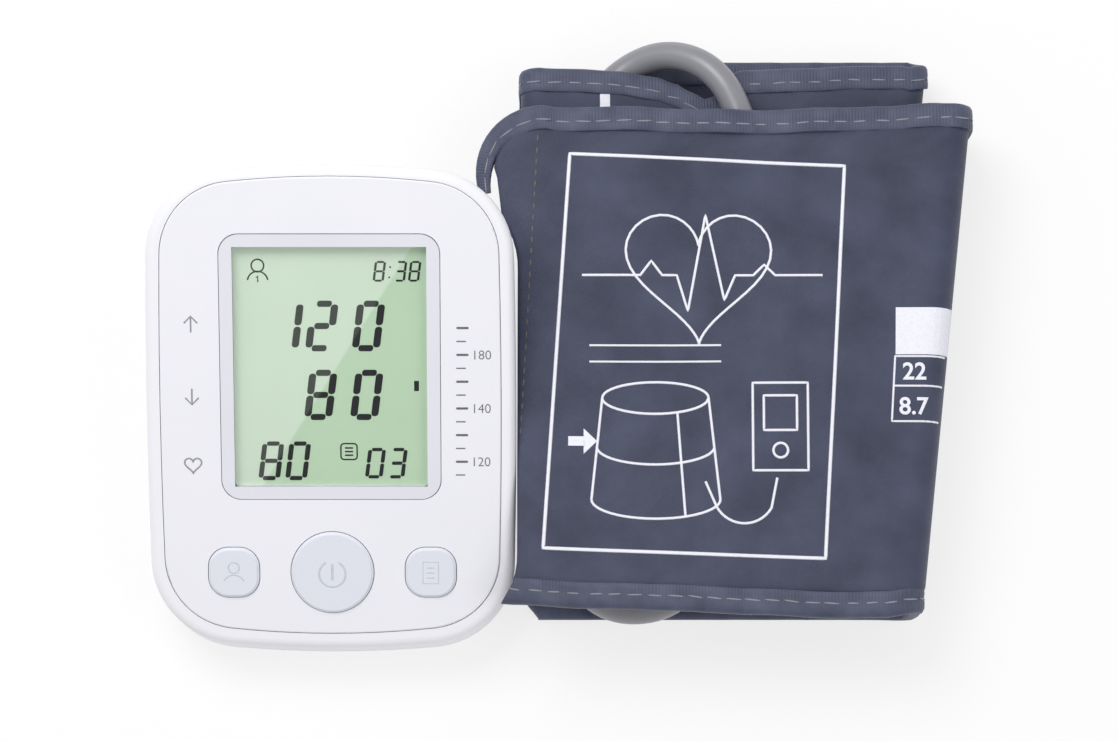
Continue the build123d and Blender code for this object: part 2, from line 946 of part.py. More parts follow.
tail &= block(
    tail_x - tail_outer - 1, tail_x, tail_center, flap_rear + 1, tape_low - 1, tape_high + 1
)
parts["flap_tape"] = flap_near + flap_far + tail
parts["flap_fold"] = squared_fold(
    fold_x(flap_front), flap_front, cuff_width, base_z, flap_top, fold_corner, lean, 1
)

# Hook patch under the core layer and loop patch on the middle layer
patch = 0.5
patch_width = 40.0
patch_inset = 20.0
parts["hook_patch"] = block(
    core_end + 6,
    core_end + 6 + patch_width,
    core_front + patch_inset,
    core_front + cuff_width - patch_inset - 1.5,
    core_z - patch,
    core_z,
)
parts["loop_patch"] = block(
    left_flat + 4,
    left_flat + 4 + patch_width,
    middle_front + patch_inset,
    middle_rear - notch_depth - patch_inset,
    middle_top,
    middle_top + patch,
)

# Metal ring, held by the hem at the free end of the core layer
ring_radius = 1.5
ring_width = 15.0
ring_length = cuff_width - 8.0
ring_mid = core_front + cuff_width / 2
ring_z = core_z + cloth / 2
ring_path = Pos(core_end + 3.0 - ring_width / 2, ring_mid, ring_z) * RectangleRounded(
    ring_width, ring_length, 4.0
)
ring_line = ring_path.wires()[0]
ring = sweep(
    Plane(origin=ring_line @ 0, z_dir=ring_line % 0) * Circle(ring_radius), path=ring_line
)
parts["metal_ring"] = ring
hem_hole = ring_radius + 0.1
hem = rod_y(hem_hole, core_front - 1, core_front + cuff_width + 1, core_end + 3.0, ring_z)
hem += block(
    core_end - 1, core_end + 3.0, core_front - 1, core_front + 10, ring_z - hem_hole,
    ring_z + hem_hole,
)
hem += block(
    core_end - 1,
    core_end + 3.0,
    core_front + cuff_width - 10,
    core_front + cuff_width + 1,
    ring_z - hem_hole,
    ring_z + hem_hole,
)
parts["core_layer"] -= hem
parts["band_tape"] -= hem

# Hose: from its port on the middle layer, round the rear edge and into the folds
between_z = (upper_hose_z + hose_z) / 2
route = [
    (116.0, 70.5, upper_hose_z),
    (113.0, 84.5, upper_hose_z),
    (105.5, 98.5, upper_hose_z),
    (92.3, 105.3, between_z),
    (79.0, 101.2, hose_z),
    (69.5, 89.0, hose_z),
    (61.8, 71.0, hose_z),
    (59.9, 44.0, hose_z),
    (59.5, 18.0, hose_z),
    (59.9, -8.0, hose_z),
    (61.0, -35.0, hose_z),
    (72.8, -51.9, hose_z),
    (91.4, -52.0, hose_z),
    (103.6, -38.5, hose_z),
    (104.9, -8.0, hose_z),
    (104.6, 25.0, hose_z),
    (103.0, 54.0, hose_z),
    (101.4, 74.5, hose_z),
    (92.4, 83.6, hose_z),
    (79.2, 83.4, hose_z),
    (70.6, 73.5, hose_z),
    (69.0, 52.0, hose_z),
    (68.4, 26.0, hose_z),
    (68.6, 2.0, hose_z),
]
runs = [Vector(*b) - Vector(*a) for a, b in zip(route, route[1:])]
radii = []
for a, b in zip(runs, runs[1:]):
    half_turn = math.radians(a.get_angle(b)) / 2
    radii.append(0.45 * min(a.length, b.length) / math.tan(half_turn))
hose_line = FilletPolyline(*route, radius=radii)
hose_start = Plane(origin=hose_line @ 0, z_dir=hose_line % 0)
hose = sweep(hose_start * Circle(hose_radius), path=hose_line)
parts["air_hose"] = hose
print("hose length", round(hose_line.length, 1), "smallest radius", round(min(radii), 1))
print("hose radii", [round(r) for r in radii])
section = math.pi * hose_radius**2
print("hose volume over section times length", round(hose.volume / hose_line.length / section, 4))

# Port that the hose comes out of, sewn to the middle layer
first = runs[0].normalized()
port_back = Vector(*route[0]) - first * 12.0
barrel = Plane(origin=port_back, z_dir=first) * extrude(Circle(hose_radius + 0.2), amount=12.0)
flange = rod_z(9.0, middle_top, middle_top + 1.4, port_back.X, port_back.Y)
parts["hose_port"] = barrel + flange

# Plug on the free end of the hose
last = runs[-1].normalized()
plug_start = Vector(*route[-1])
plug = Plane(origin=plug_start, z_dir=last) * extrude(
    Circle(hose_radius + 0.1), amount=plug_length
)
grip_ring = Circle(hose_radius + 1) - Circle(hose_radius - 0.4)
for step in (4.0, 6.5, 9.0, 11.5):
    at = plug_start + last * step
    plug -= Plane(origin=at, z_dir=last) * extrude(grip_ring, amount=1.0)
parts["air_plug"] = plug
nozzle_start = plug_start + last * plug_length
nozzle = Plane(origin=nozzle_start, z_dir=last) * extrude(
    Circle(nozzle_radius), amount=nozzle_length
)
tip = nozzle_start + last * nozzle_length
nozzle -= Plane(origin=tip, z_dir=-last) * extrude(Circle(1.2), amount=nozzle_length - 2)
parts["plug_nozzle"] = nozzle

# The origin is the middle of the footprint, on the table
loose = ("air_hose", "air_plug", "plug_nozzle")
boxes = [part.bounding_box() for name, part in parts.items() if name not in loose]
middle_x = (min(b.min.X for b in boxes) + max(b.max.X for b in boxes)) / 2
middle_y = (min(b.min.Y for b in boxes) + max(b.max.Y for b in boxes)) / 2
print("case middle is at", round(-middle_x, 3), round(-middle_y, 3))
for name, part in parts.items():
    export_step(Pos(-middle_x, -middle_y, 0) * part, f"parts/{name}.step")
print("hose route", [tuple(round(c, 2) for c in (x - middle_x, y - middle_y, z)) for x, y, z in route])
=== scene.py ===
import math
import random

import bpy
from mathutils import Matrix, Vector


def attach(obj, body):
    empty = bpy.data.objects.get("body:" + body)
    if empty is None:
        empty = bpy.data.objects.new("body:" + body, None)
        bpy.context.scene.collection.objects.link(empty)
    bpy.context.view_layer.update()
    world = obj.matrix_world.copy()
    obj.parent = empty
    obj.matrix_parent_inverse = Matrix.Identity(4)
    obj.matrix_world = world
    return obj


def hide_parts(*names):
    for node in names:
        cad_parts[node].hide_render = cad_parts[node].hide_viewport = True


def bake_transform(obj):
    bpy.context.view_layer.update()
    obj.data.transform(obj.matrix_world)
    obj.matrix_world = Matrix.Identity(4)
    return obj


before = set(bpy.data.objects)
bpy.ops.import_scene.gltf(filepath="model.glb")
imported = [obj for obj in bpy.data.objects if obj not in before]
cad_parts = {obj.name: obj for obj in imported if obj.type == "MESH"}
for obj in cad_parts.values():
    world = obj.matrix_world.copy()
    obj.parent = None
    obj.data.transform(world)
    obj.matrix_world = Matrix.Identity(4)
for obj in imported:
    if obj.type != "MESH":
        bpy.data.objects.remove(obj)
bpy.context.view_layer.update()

chance = random.Random(7)


def mm(x, y, z=0.0):
    return Vector(((x - 63.3) / 1000, (y - 21.288) / 1000, z / 1000))


# The display face leans back, so that its rear edge is high
faceTilt = math.radians(20)
faceMatrix = Matrix.Translation(mm(0, 0, 41)) @ Matrix.Rotation(faceTilt, 4, "X")


def onFace(u, v, w):
    return faceMatrix @ Matrix.Translation((u / 1000, v / 1000, w / 1000))


def deselectAll():
    for item in bpy.context.selected_objects:
        item.select_set(False)


def pick(piece):
    deselectAll()
    piece.select_set(True)
    bpy.context.view_layer.objects.active = piece


def addModifier(piece, kind, **settings):
    pick(piece)
    modifier = piece.modifiers.new(kind, kind)
    for key, value in settings.items():
        setattr(modifier, key, value)
    bpy.ops.object.modifier_apply(modifier=modifier.name)


def joinPieces(name, copies):
    deselectAll()
    for item in copies:
        item.select_set(True)
    bpy.context.view_layer.objects.active = copies[0]
    if len(copies) > 1:
        bpy.ops.object.join()
    joined = bpy.context.view_layer.objects.active
    joined.name = name
    joined.data.name = name
    return joined


def copyAt(template, matrix):
    # A copy of its own mesh, with its place in the mesh
    twin = bpy.data.objects.new(template.name, template.data.copy())
    twin.data.transform(matrix)
    bpy.context.scene.collection.objects.link(twin)
    return twin


def curveMesh(name, rings, width, closed):
    # Round lines as a mesh, width in millimetres; with no width the closed rings are filled
    curve = bpy.data.curves.new(name, "CURVE")
    for ring in rings:
        line = curve.splines.new("POLY")
        line.points.add(len(ring) - 1)
        for point, place in zip(line.points, ring):
            point.co = (*place, 1)
        line.use_cyclic_u = closed
    if width:
        curve.dimensions = "3D"
        curve.bevel_depth = width / 2000
        curve.bevel_resolution = 1
        curve.use_fill_caps = True
    else:
        curve.dimensions = "2D"
        curve.fill_mode = "BOTH"
        curve.extrude = 0.00003
    drawn = bpy.data.objects.new(name, curve)
    bpy.context.scene.collection.objects.link(drawn)
    pick(drawn)
    bpy.ops.object.convert(target="MESH")
    return bpy.context.object


def textMesh(text, size, extrude, offset):
    # Plain figures as a mesh at the origin, with its sizes in metres
    deselectAll()
    bpy.ops.object.text_add()
    label = bpy.context.object
    label.data.body = text
    label.data.size = size
    label.data.extrude = extrude
    label.data.offset = offset
    bpy.ops.object.convert(target="MESH")
    return bpy.context.object


def dress(piece, material, slotName, body, *nodes):
    piece.data.materials.clear()
    piece.data.materials.append(material)
    if body:
        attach(piece, body)
    if nodes:
        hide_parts(*nodes)


def arcPoints(u, v, radius, start, end, steps=20, squash=1.0):
    angles = [math.radians(start + (end - start) * k / steps) for k in range(steps + 1)]
    return [(u + radius * math.cos(a), v + squash * radius * math.sin(a)) for a in angles]


def heartPoints(u, v, size, steps=40):
    found = []
    for k in range(steps):
        t = 2 * math.pi * k / steps
        x = 16 * math.sin(t) ** 3
        y = 13 * math.cos(t) - 5 * math.cos(2 * t) - 2 * math.cos(3 * t) - math.cos(4 * t)
        found.append((u + x * size / 32, v + y * size / 32))
    return found


# Materials


def srgb(hexText):
    channels = [int(hexText[i:i + 2], 16) / 255 for i in (1, 3, 5)]
    return [c / 12.92 if c <= 0.04045 else ((c + 0.055) / 1.055) ** 2.4 for c in channels] + [1]


def addNode(material, kind, settings=None, links=None):
    # Settings name a property of the node or one of its sockets; links give a socket its source
    tree = material.node_tree
    node = tree.nodes.new("ShaderNode" + kind)
    for key, value in (settings or {}).items():
        if isinstance(key, str) and hasattr(node, key):
            setattr(node, key, value)
        else:
            node.inputs[key].default_value = value
    for socket, source in (links or {}).items():
        output = source[0].outputs[source[1]] if isinstance(source, tuple) else source.outputs[0]
        tree.links.new(output, node.inputs[socket])
    return node


def newMaterial(name):
    material = bpy.data.materials.new(name)
    material.use_nodes = True
    material.node_tree.nodes.clear()
    return material


def placedMaterial(name, output="Object"):
    # A new material and the coordinates that place its patterns
    material = newMaterial(name)
    return material, (addNode(material, "TexCoord"), output)


def finishMaterial(material, settings, links, kind="BsdfPrincipled"):
    shader = addNode(material, kind, settings, links)
    addNode(material, "OutputMaterial", None, {"Surface": shader})
    return material


def mixColour(material, factor, first, second, spread=None):
    # From one colour to the other by a pattern, whose middle range can be spread over both
    if spread:
        factor = addNode(material, "MapRange", {"From Min": spread[0], "From Max": spread[1]},
                         {"Value": factor})
    return addNode(material, "Mix", {"data_type": "RGBA", 6: srgb(first), 7: srgb(second)},
                   {0: factor})


def mouldedPlastic(name, colour, shade, roughness, grain=0.6, depth=0.02, ior=1.5):
    # Injection moulded from a spark-eroded tool: satin, with a fine even grain
    material, place = placedMaterial(name)
    cloud = addNode(material, "TexNoise", {"Scale": 1 / 0.03, "Detail": 2.0}, {"Vector": place})
    tone = mixColour(material, (cloud, 0), colour, shade)
    fine = addNode(material, "TexNoise", {"Scale": 1000 / grain, "Detail": 3.0},
                   {"Vector": place})
    bump = addNode(material, "Bump", {"Strength": 0.25, "Distance": depth / 1000},
                   {"Height": (fine, 0)})
    rough = addNode(material, "MapRange",
                    {"To Min": roughness - 0.05, "To Max": roughness + 0.05},
                    {"Value": (fine, 0)})
    return finishMaterial(material, {"IOR": ior},
                          {"Base Color": (tone, 2), "Roughness": rough, "Normal": bump})


def wovenNylon(name, dark, light, thread=0.7, depth=0.16, roughness=0.5, sheen=0.1):
    # Coated pack cloth in plain weave: a soft satin with a faint grid of threads.
    # Its threads are 0.35 mm apart and are drawn twice as coarse, so that they show.
    material, place = placedMaterial(name, "UV")
    sides = addNode(material, "SeparateXYZ", None, {"Vector": place})
    waves = []
    for axis in ("X", "Y"):
        turns = addNode(material, "Math", {"operation": "MULTIPLY", 1: 2 * math.pi / thread},
                        {0: (sides, axis)})
        waves.append(addNode(material, "Math", {"operation": "SINE"}, {0: turns}))
    weave = addNode(material, "Math", {"operation": "MULTIPLY"}, {0: waves[0], 1: waves[1]})
    worn = addNode(material, "TexNoise", {"Scale": 0.05, "Detail": 4.0, "Roughness": 0.55},
                   {"Vector": place})
    slub = addNode(material, "TexNoise", {"Scale": 0.9, "Detail": 2.0}, {"Vector": place})
    tone = mixColour(material, (worn, 0), dark, light, (0.3, 0.7))
    grid = addNode(material, "MapRange", {"From Min": -1.0, "To Min": 0.9, "To Max": 1.06},
                   {"Value": weave})
    colour = addNode(material, "Mix",
                     {"data_type": "RGBA", "blend_type": "MULTIPLY", "Factor": 1.0},
                     {6: (tone, 2), 7: grid})
    height = addNode(material, "Math", {"operation": "MULTIPLY_ADD", 1: 0.5, 2: 0.0},
                     {0: weave, 2: (slub, 0)})
    bump = addNode(material, "Bump", {"Strength": 0.5, "Distance": depth / 1000},
                   {"Height": height})
    rough = addNode(material, "MapRange",
                    {"To Min": roughness - 0.08, "To Max": roughness + 0.1},
                    {"Value": (slub, 0)})
    return finishMaterial(material,
                          {"IOR": 1.38, "Sheen Weight": sheen, "Sheen Roughness": 0.4},
                          {"Base Color": (colour, 2), "Roughness": rough, "Normal": bump})


def ribbedTape(name, dark, light, rib=0.9):
    # Woven binding tape: fine ribs across it, a little paler and shinier than the cloth
    material, place = placedMaterial(name, "UV")
    sides = addNode(material, "SeparateXYZ", None, {"Vector": place})
    turns = addNode(material, "Math", {"operation": "MULTIPLY", 1: 2 * math.pi / rib},
                    {0: (sides, "X")})
    ribs = addNode(material, "Math", {"operation": "SINE"}, {0: turns})
    worn = addNode(material, "TexNoise", {"Scale": 0.12, "Detail": 3.0}, {"Vector": place})
    tone = mixColour(material, (worn, 0), dark, light, (0.3, 0.7))
    bump = addNode(material, "Bump", {"Strength": 0.45, "Distance": 0.0001}, {"Height": ribs})
    return finishMaterial(
        material,
        {"IOR": 1.38, "Roughness": 0.55, "Sheen Weight": 0.1, "Sheen Roughness": 0.4},
        {"Base Color": (tone, 2), "Normal": bump})


def printedInk(name, colour, shade, roughness=0.45):
    # Screen printed ink: matt and slightly uneven, with pinholes at the scale of the weave
    material, place = placedMaterial(name)
    spots = addNode(material, "TexNoise", {"Scale": 1 / 0.0008, "Detail": 2.0}, {"Vector": place})
    tone = mixColour(material, (spots, 0), shade, colour, (0.35, 0.6))
    return finishMaterial(material, {"IOR": 1.5, "Roughness": roughness},
                          {"Base Color": (tone, 2)})


def metal(name, colour, roughness, grain=0.3):
    # Drawn or rolled metal: fine scratches spread the shine
    material, place = placedMaterial(name)
    scratch = addNode(material, "TexNoise", {"Scale": 1000 / grain, "Detail": 2.0},
                      {"Vector": place})
    rough = addNode(material, "MapRange",
                    {"To Min": roughness - 0.06, "To Max": roughness + 0.08},
                    {"Value": (scratch, 0)})
    bump = addNode(material, "Bump", {"Strength": 0.1, "Distance": 0.00002},
                   {"Height": (scratch, 0)})
    return finishMaterial(material,
                          {"Base Color": srgb(colour), "Metallic": 1.0},
                          {"Roughness": rough, "Normal": bump})


def paintedSheenSplit(material, place):
    # Mask for the painted sheen: 0 on the upper left of the display and 1 on its lower right,
    # parted by a slanting line
    turned = addNode(material, "Mapping", None, {"Vector": place})
    turned.inputs["Location"].default_value = (0.0455, 0, 0)
    turned.inputs["Rotation"].default_value = (0, 0, math.radians(33.7))
    side = addNode(material, "SeparateXYZ", None, {"Vector": turned})
    return addNode(material, "MapRange", {"From Min": -0.0004, "From Max": 0.0004},
                   {"Value": (side, "X")})


def liquidCrystal(name):
    # Reflective liquid crystal glass: pale green, with the cover glass's sheen painted in as a
    # paler upper left
    material, place = placedMaterial(name)
    tone = mixColour(material, paintedSheenSplit(material, place), "#daeed8", "#c4e0c0")
    cloud = addNode(material, "TexNoise", {"Scale": 1 / 0.02, "Detail": 1.0}, {"Vector": place})
    fade = addNode(material, "MapRange", {"To Min": 0.97, "To Max": 1.03}, {"Value": (cloud, 0)})
    colour = addNode(material, "Mix",
                     {"data_type": "RGBA", "blend_type": "MULTIPLY", "Factor": 1.0},
                     {6: (tone, 2), 7: fade})
    return finishMaterial(material, {"IOR": 1.52, "Roughness": 0.35}, {"Base Color": (colour, 2)})


def litSegment(name):
    # Dark segments with the same painted sheen: greyer on the upper left
    material, place = placedMaterial(name)
    tone = mixColour(material, paintedSheenSplit(material, place), "#464c47", "#15181a")
    return finishMaterial(material, {"IOR": 1.5, "Roughness": 0.4}, {"Base Color": (tone, 2)})


def clearAcrylic(name):
    # Polished acrylic: nearly unseen apart from its gloss
    material, place = placedMaterial(name)
    smear = addNode(material, "TexNoise", {"Scale": 1 / 0.012, "Detail": 2.0}, {"Vector": place})
    rough = addNode(material, "MapRange", {"To Min": 0.03, "To Max": 0.09}, {"Value": (smear, 0)})
    return finishMaterial(material,
                          {"Base Color": srgb("#30363a"), "IOR": 1.49, "Alpha": 0.04},
                          {"Roughness": rough})


whiteAbs = mouldedPlastic("Satin white ABS", "#f1f1f6", "#ededf3", 0.38)
coverAbs = mouldedPlastic("Satin white ABS cover", "#efeff5", "#ebebf2", 0.34)
keyAbs = mouldedPlastic("Pale grey ABS key", "#e2e5ee", "#dde0ea", 0.36)
whiteNylon = mouldedPlastic("White nylon", "#e9e9e4", "#dfdfda", 0.5, 0.8, 0.03)
blackPlastic = mouldedPlastic("Black moulded plastic", "#26272a", "#1e1f22", 0.45)
greyPlastic = mouldedPlastic("Grey moulded plastic", "#8d9096", "#83868c", 0.45)
boardGreen = mouldedPlastic("Green solder mask", "#2f6b46", "#28603e", 0.35, 1.2, 0.03)
footRubber = mouldedPlastic("Dark grey rubber", "#4a4b50", "#424348", 0.75, 0.5, 0.04)
siliconeTube = mouldedPlastic("Milky silicone", "#dcdcd6", "#cfcfc9", 0.42)
cellSleeve = mouldedPlastic("Shrink sleeve on a cell", "#3a3d46", "#32353d", 0.3, 2.0, 0.02)
diffuser = mouldedPlastic("White diffuser acrylic", "#f0f2f0", "#e6e9e6", 0.3)
silverBorder = mouldedPlastic("Silver grey print", "#e4e4ec", "#dedee7", 0.3, 0.3, 0.01)
brightSteel = metal("Nickel plated steel", "#c9cacd", 0.24)
darkSteel = metal("Zinc plated steel", "#a9abaf", 0.36)
springSteel = metal("Spring steel", "#b4b6ba", 0.28)
lcdGreen = liquidCrystal("Liquid crystal glass")
lensAcrylic = clearAcrylic("Clear acrylic")
cuffNylon = wovenNylon("Slate blue nylon", "#33384c", "#494e65")
cuffTape = ribbedTape("Slate blue binding tape", "#43485c", "#575c71")
stitchThread = mouldedPlastic("Grey polyester thread", "#96969d", "#7f7f87", 0.6, 0.5, 0.05)
seamThread = mouldedPlastic("Dark grey thread", "#6b6660", "#5d5954", 0.6, 0.5, 0.05)
whiteInk = printedInk("White screen print", "#ededf7", "#e7e7f1")
greyInk = printedInk("Grey pad print", "#9a9ba3", "#8f9098", 0.4)
segmentInk = litSegment("Dark liquid crystal segment")
# Dark grey print for the scale; the same ink paints the shadow line at the window's edge
darkPrintAndShadowInk = printedInk("Dark grey pad print and painted shadow", "#6d6d74", "#62626a", 0.4)
faintInk = printedInk("Faint key mark", "#cdd1db", "#c6cad5", 0.4)
hookFelt = wovenNylon("Grey blue hook tape", "#3d4152", "#4a4e60", 1.6, 0.5, 0.8, 0.5)
loopFelt = wovenNylon("Grey blue loop tape", "#43475a", "#50546a", 1.2, 0.6, 0.85, 0.8)

nodeMaterials = (
    (whiteAbs, "housing", "battery_lid"), (coverAbs, "front_cover"),
    (keyAbs, "start_button", "user_button", "memory_button"),
    (lensAcrylic, "display_lens"), (silverBorder, "lens_border"), (lcdGreen, "lcd_glass"),
    (diffuser, "light_guide"), (footRubber, "lcd_connector", "rubber_feet"),
    (whiteNylon, "lcd_holder", "air_manifold", "pump_head"),
    (boardGreen, "main_board", "port_board"),
    (blackPlastic, "tact_switches", "controller_chip", "buzzer", "pressure_sensor",
     "valve_coil", "power_port"),
    (darkSteel, "capacitors", "board_screws", "case_screws"),
    (brightSteel, "valve_plunger", "pump_motor", "contact_plates", "metal_ring"),
    (springSteel, "pump_rotor", "battery_springs"), (siliconeTube, "air_tubes"),
    (greyPlastic, "air_jack", "hose_port", "air_plug", "plug_nozzle"),
    (cellSleeve, "battery_cells"),
)
for nodeMaterial, *nodeNames in nodeMaterials:
    for nodeName in nodeNames:
        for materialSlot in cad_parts[nodeName].material_slots:
            materialSlot.material = nodeMaterial
print("materials done")


# Camera and cord

view = {"target": (-0.0016, -0.0078, 0.022), "distance": 0.950, "elevation": 80, "lens": 110.7}
target = Vector(view["target"])
rise = math.radians(view["elevation"])
bpy.ops.object.camera_add(
    location=target + view["distance"] * Vector((0, -math.cos(rise), math.sin(rise))),
    rotation=(math.pi / 2 - rise, 0, 0))
camera = bpy.context.object
camera.data.lens = view["lens"]
camera.data.sensor_width = 36
bpy.context.scene.camera = camera

# Limp PVC hose, 8 mm across and 476 mm long, laid in the folds of the cuff
hoseSize = {"radius": 0.004, "length": 0.476}
hosePlan = [
    (52.7, 49.21), (49.7, 63.21), (42.2, 77.21), (29.0, 84.01), (15.7, 79.91), (6.2, 67.71),
    (-1.5, 49.71), (-3.4, 22.71), (-3.8, -3.29), (-3.4, -29.29), (-2.3, -56.29), (9.5, -73.19),
    (28.1, -73.29), (40.3, -59.79), (41.6, -29.29), (41.3, 3.71), (39.7, 32.71), (38.1, 53.21),
    (29.1, 62.31), (15.9, 62.11), (7.3, 52.21), (5.7, 30.71), (5.1, 4.71), (5.3, -19.29),
]
hoseHeights = [25.8] * 3 + [19.4] + [13.0] * 20
hoseRoute = [(x / 1000, y / 1000, z / 1000) for (x, y), z in zip(hosePlan, hoseHeights)]


def softPvc(name):
    # Extruded PVC tube: smooth satin grey with a broad soft shine
    material, place = placedMaterial(name)
    cloud = addNode(material, "TexNoise", {"Scale": 1 / 0.015, "Detail": 3.0}, {"Vector": place})
    tone = mixColour(material, (cloud, 0), "#83838a", "#8d8d94")
    bump = addNode(material, "Bump", {"Strength": 0.15, "Distance": 0.0001},
                   {"Height": (cloud, 0)})
    return finishMaterial(
        material,
        {"IOR": 1.53, "Roughness": 0.34, "Coat Weight": 0.15, "Coat Roughness": 0.25},
        {"Base Color": (tone, 2), "Normal": bump})


hoseCurve = bpy.data.curves.new("airHose", "CURVE")
hoseCurve.dimensions = "3D"
hoseLine = hoseCurve.splines.new("NURBS")
hoseLine.points.add(len(hoseRoute) - 1)
for point, place in zip(hoseLine.points, hoseRoute):
    point.co = (*place, 1)
hoseLine.order_u = 3
hoseLine.use_endpoint_u = True
hoseCurve.resolution_u = 10
hoseCurve.bevel_depth = hoseSize["radius"]
hoseCurve.bevel_resolution = 6
hoseCurve.use_fill_caps = True
airHose = bpy.data.objects.new("airHose", hoseCurve)
bpy.context.scene.collection.objects.link(airHose)
dress(airHose, softPvc("Grey soft PVC"), "hose", "cuff", "air_hose")
print("camera and hose done")


# Cuff: one band of padded cloth in a flat spiral. The outer wrap is the printed flap, the
# right fold and the bottom layer; the inner wrap is the left fold, the middle layer, the
# inner fold and the core layer. Their edges are bound in tape.

cuff = {
    "cloth": 3.4, "foldRear": 176.6, "flapFront": -54.8, "flapRear": 86.7,
    "lean": math.tan(math.radians(6.45)), "flapMid": 32.2, "baseMid": 2.1, "middleMid": 19.4,
    "coreMid": 6.6, "leftOuter": 50.9, "foldRadius": 5.2, "innerRadius": 3.6, "innerStep": 11.1,
    "coreEnd": 84.0, "tailCentre": (59.5, 66.2), "tailRadius": 20.5, "tailInset": 4.5,
    "caseHalf": 50.35, "caseCorner": 23.0, "caseStraight": 40.6, "flapLeft": 44.6,
    "flapSteps": 64, "baseSteps": 30, "middleSteps": 56, "coreSteps": 24, "middleRear": 100.4,
}
# Measured lines of the edges, as x and y
flapRearLine = [(39, 86.0), (52, 86.2), (66, 85.7), (80, 85.9), (98, 85.2), (119, 85.0),
                (136, 85.7), (152, 86.1), (166, 86.9), (178, 86.7)]
flapFrontLine = [(44, -52.3), (50, -52.6), (71, -53.7), (92, -54.3), (116, -55.3),
                 (136, -56.3), (150, -56.1), (162, -54.9)]
middleRearLine = [(50, 100.3), (65, 100.1), (77, 99.4), (88.6, 97.7), (94, 95.8), (99, 93.2),
                  (103, 91.2), (106, 92.6), (109.5, 98.2), (113, 99.6), (132, 100.1),
                  (145, 100.9), (166, 100.9)]
# Drag lines in the flap: where each starts, its slope, half width and height
dragLines = ((46, 74, 0.62, 3.2, 0.5), (46, 60, 0.35, 4.0, 0.35), (176, 70, -0.5, 4.5, 0.4),
             (60, -30, 0.22, 5.0, 0.3), (165, -30, -0.3, 5.5, 0.35))


def along(table, x):
    for (x0, y0), (x1, y1) in zip(table, table[1:]):
        if x <= x1:
            part = max(0.0, min(1.0, (x - x0) / (x1 - x0)))
            return y0 + (y1 - y0) * part * part * (3 - 2 * part)
    return table[-1][1]


def foldX(y, step=0.0):
    return cuff["foldRear"] + (y - cuff["flapRear"]) * cuff["lean"] - step


def flapLeftX(y):
    # The flap's left edge keeps clear of the rounded case, and its rear corner is round
    cx, cy = cuff["tailCentre"]
    if y > cy:
        reach = cuff["tailRadius"] - cuff["tailInset"]
        return cx - math.sqrt(max(0.0, reach ** 2 - (y - cy) ** 2))
    over = max(0.0, abs(y) - cuff["caseStraight"])
    corner = cuff["caseCorner"]
    side = cuff["caseHalf"] - corner + math.sqrt(max(0.0, corner ** 2 - over ** 2))
    return max(cuff["flapLeft"] + 1.4 * max(0.0, (cy - y) / 12 if y > 54 else 1.0), side)


def flapMidZ(x, y):
    # Loose padded cloth: long low swells, shallow puckers at the hems and a slight sag
    u, v = x - 110, y - 16
    swell = 0.55 * math.sin(u / 19 + 0.4 * math.sin(v / 23)) * math.cos(v / 31 + 0.6)
    swell += 0.4 * math.sin(v / 14 + u / 37 + 1.1) + 0.25 * math.sin(u / 9.5 - v / 17)
    rear = max(0.0, 1 - (cuff["flapRear"] - y) / 24)
    front = max(0.0, 1 - (y - cuff["flapFront"]) / 20)
    pucker = (rear ** 2) * 0.55 * math.sin(x / 5.2 + 1.3 * math.sin(x / 17))
    pucker += (front ** 2) * 0.4 * math.sin(x / 7.1 + 0.8 * math.sin(x / 13) + 2)
    for startX, startY, slope, width, high in dragLines:
        side = -1 if startX > 110 else 1
        reach = max(0.0, side * (x - startX)) / 46
        off = (y - startY) - side * slope * (x - startX) * (1 - 0.25 * reach)
        swell += high * math.exp(-(off / width) ** 2) * max(0.0, 1 - reach) ** 1.5
    sag = 0.5 * math.cos(u / 62) * math.cos(v / 76)
    hold = min(1.0, max(0.0, (foldX(y) - 9 - x) / 14))
    return cuff["flapMid"] + (swell + pucker - sag) * hold


def turnPath(x, zHigh, zLow, side, radius):
    # Stations round a fold from its upper to its lower layer: x, z and the outward normal
    def quarter(z, first):
        angles = [math.radians(first - 15 * step) for step in range(7)]
        return [(x - side * radius + side * radius * math.cos(angle),
                 z + radius * math.sin(angle), side * math.cos(angle), math.sin(angle))
                for angle in angles]

    drop = zLow - zHigh + 2 * radius
    upright = [(x, zHigh - radius + drop * step / 5, side, 0.0) for step in range(1, 5)]
    return quarter(zHigh - radius, 90) + upright + quarter(zLow + radius, 0)


def outerPath(y):
    edge = foldX(y) - cuff["cloth"] / 2
    start = edge - cuff["foldRadius"]
    left = flapLeftX(y)
    stations = []
    for step in range(cuff["flapSteps"]):
        x = left + (start - left) * step / cuff["flapSteps"]
        slope = flapMidZ(x + 0.5, y) - flapMidZ(x - 0.5, y)
        stations.append((x, flapMidZ(x, y), -slope, 1.0))
    stations += turnPath(edge, cuff["flapMid"], cuff["baseMid"], 1, cuff["foldRadius"])
    reach = cuff["leftOuter"] + 5.0 - start
    return stations + [(start + reach * step / cuff["baseSteps"], cuff["baseMid"], 0.0, -1.0)
                       for step in range(1, cuff["baseSteps"] + 1)]


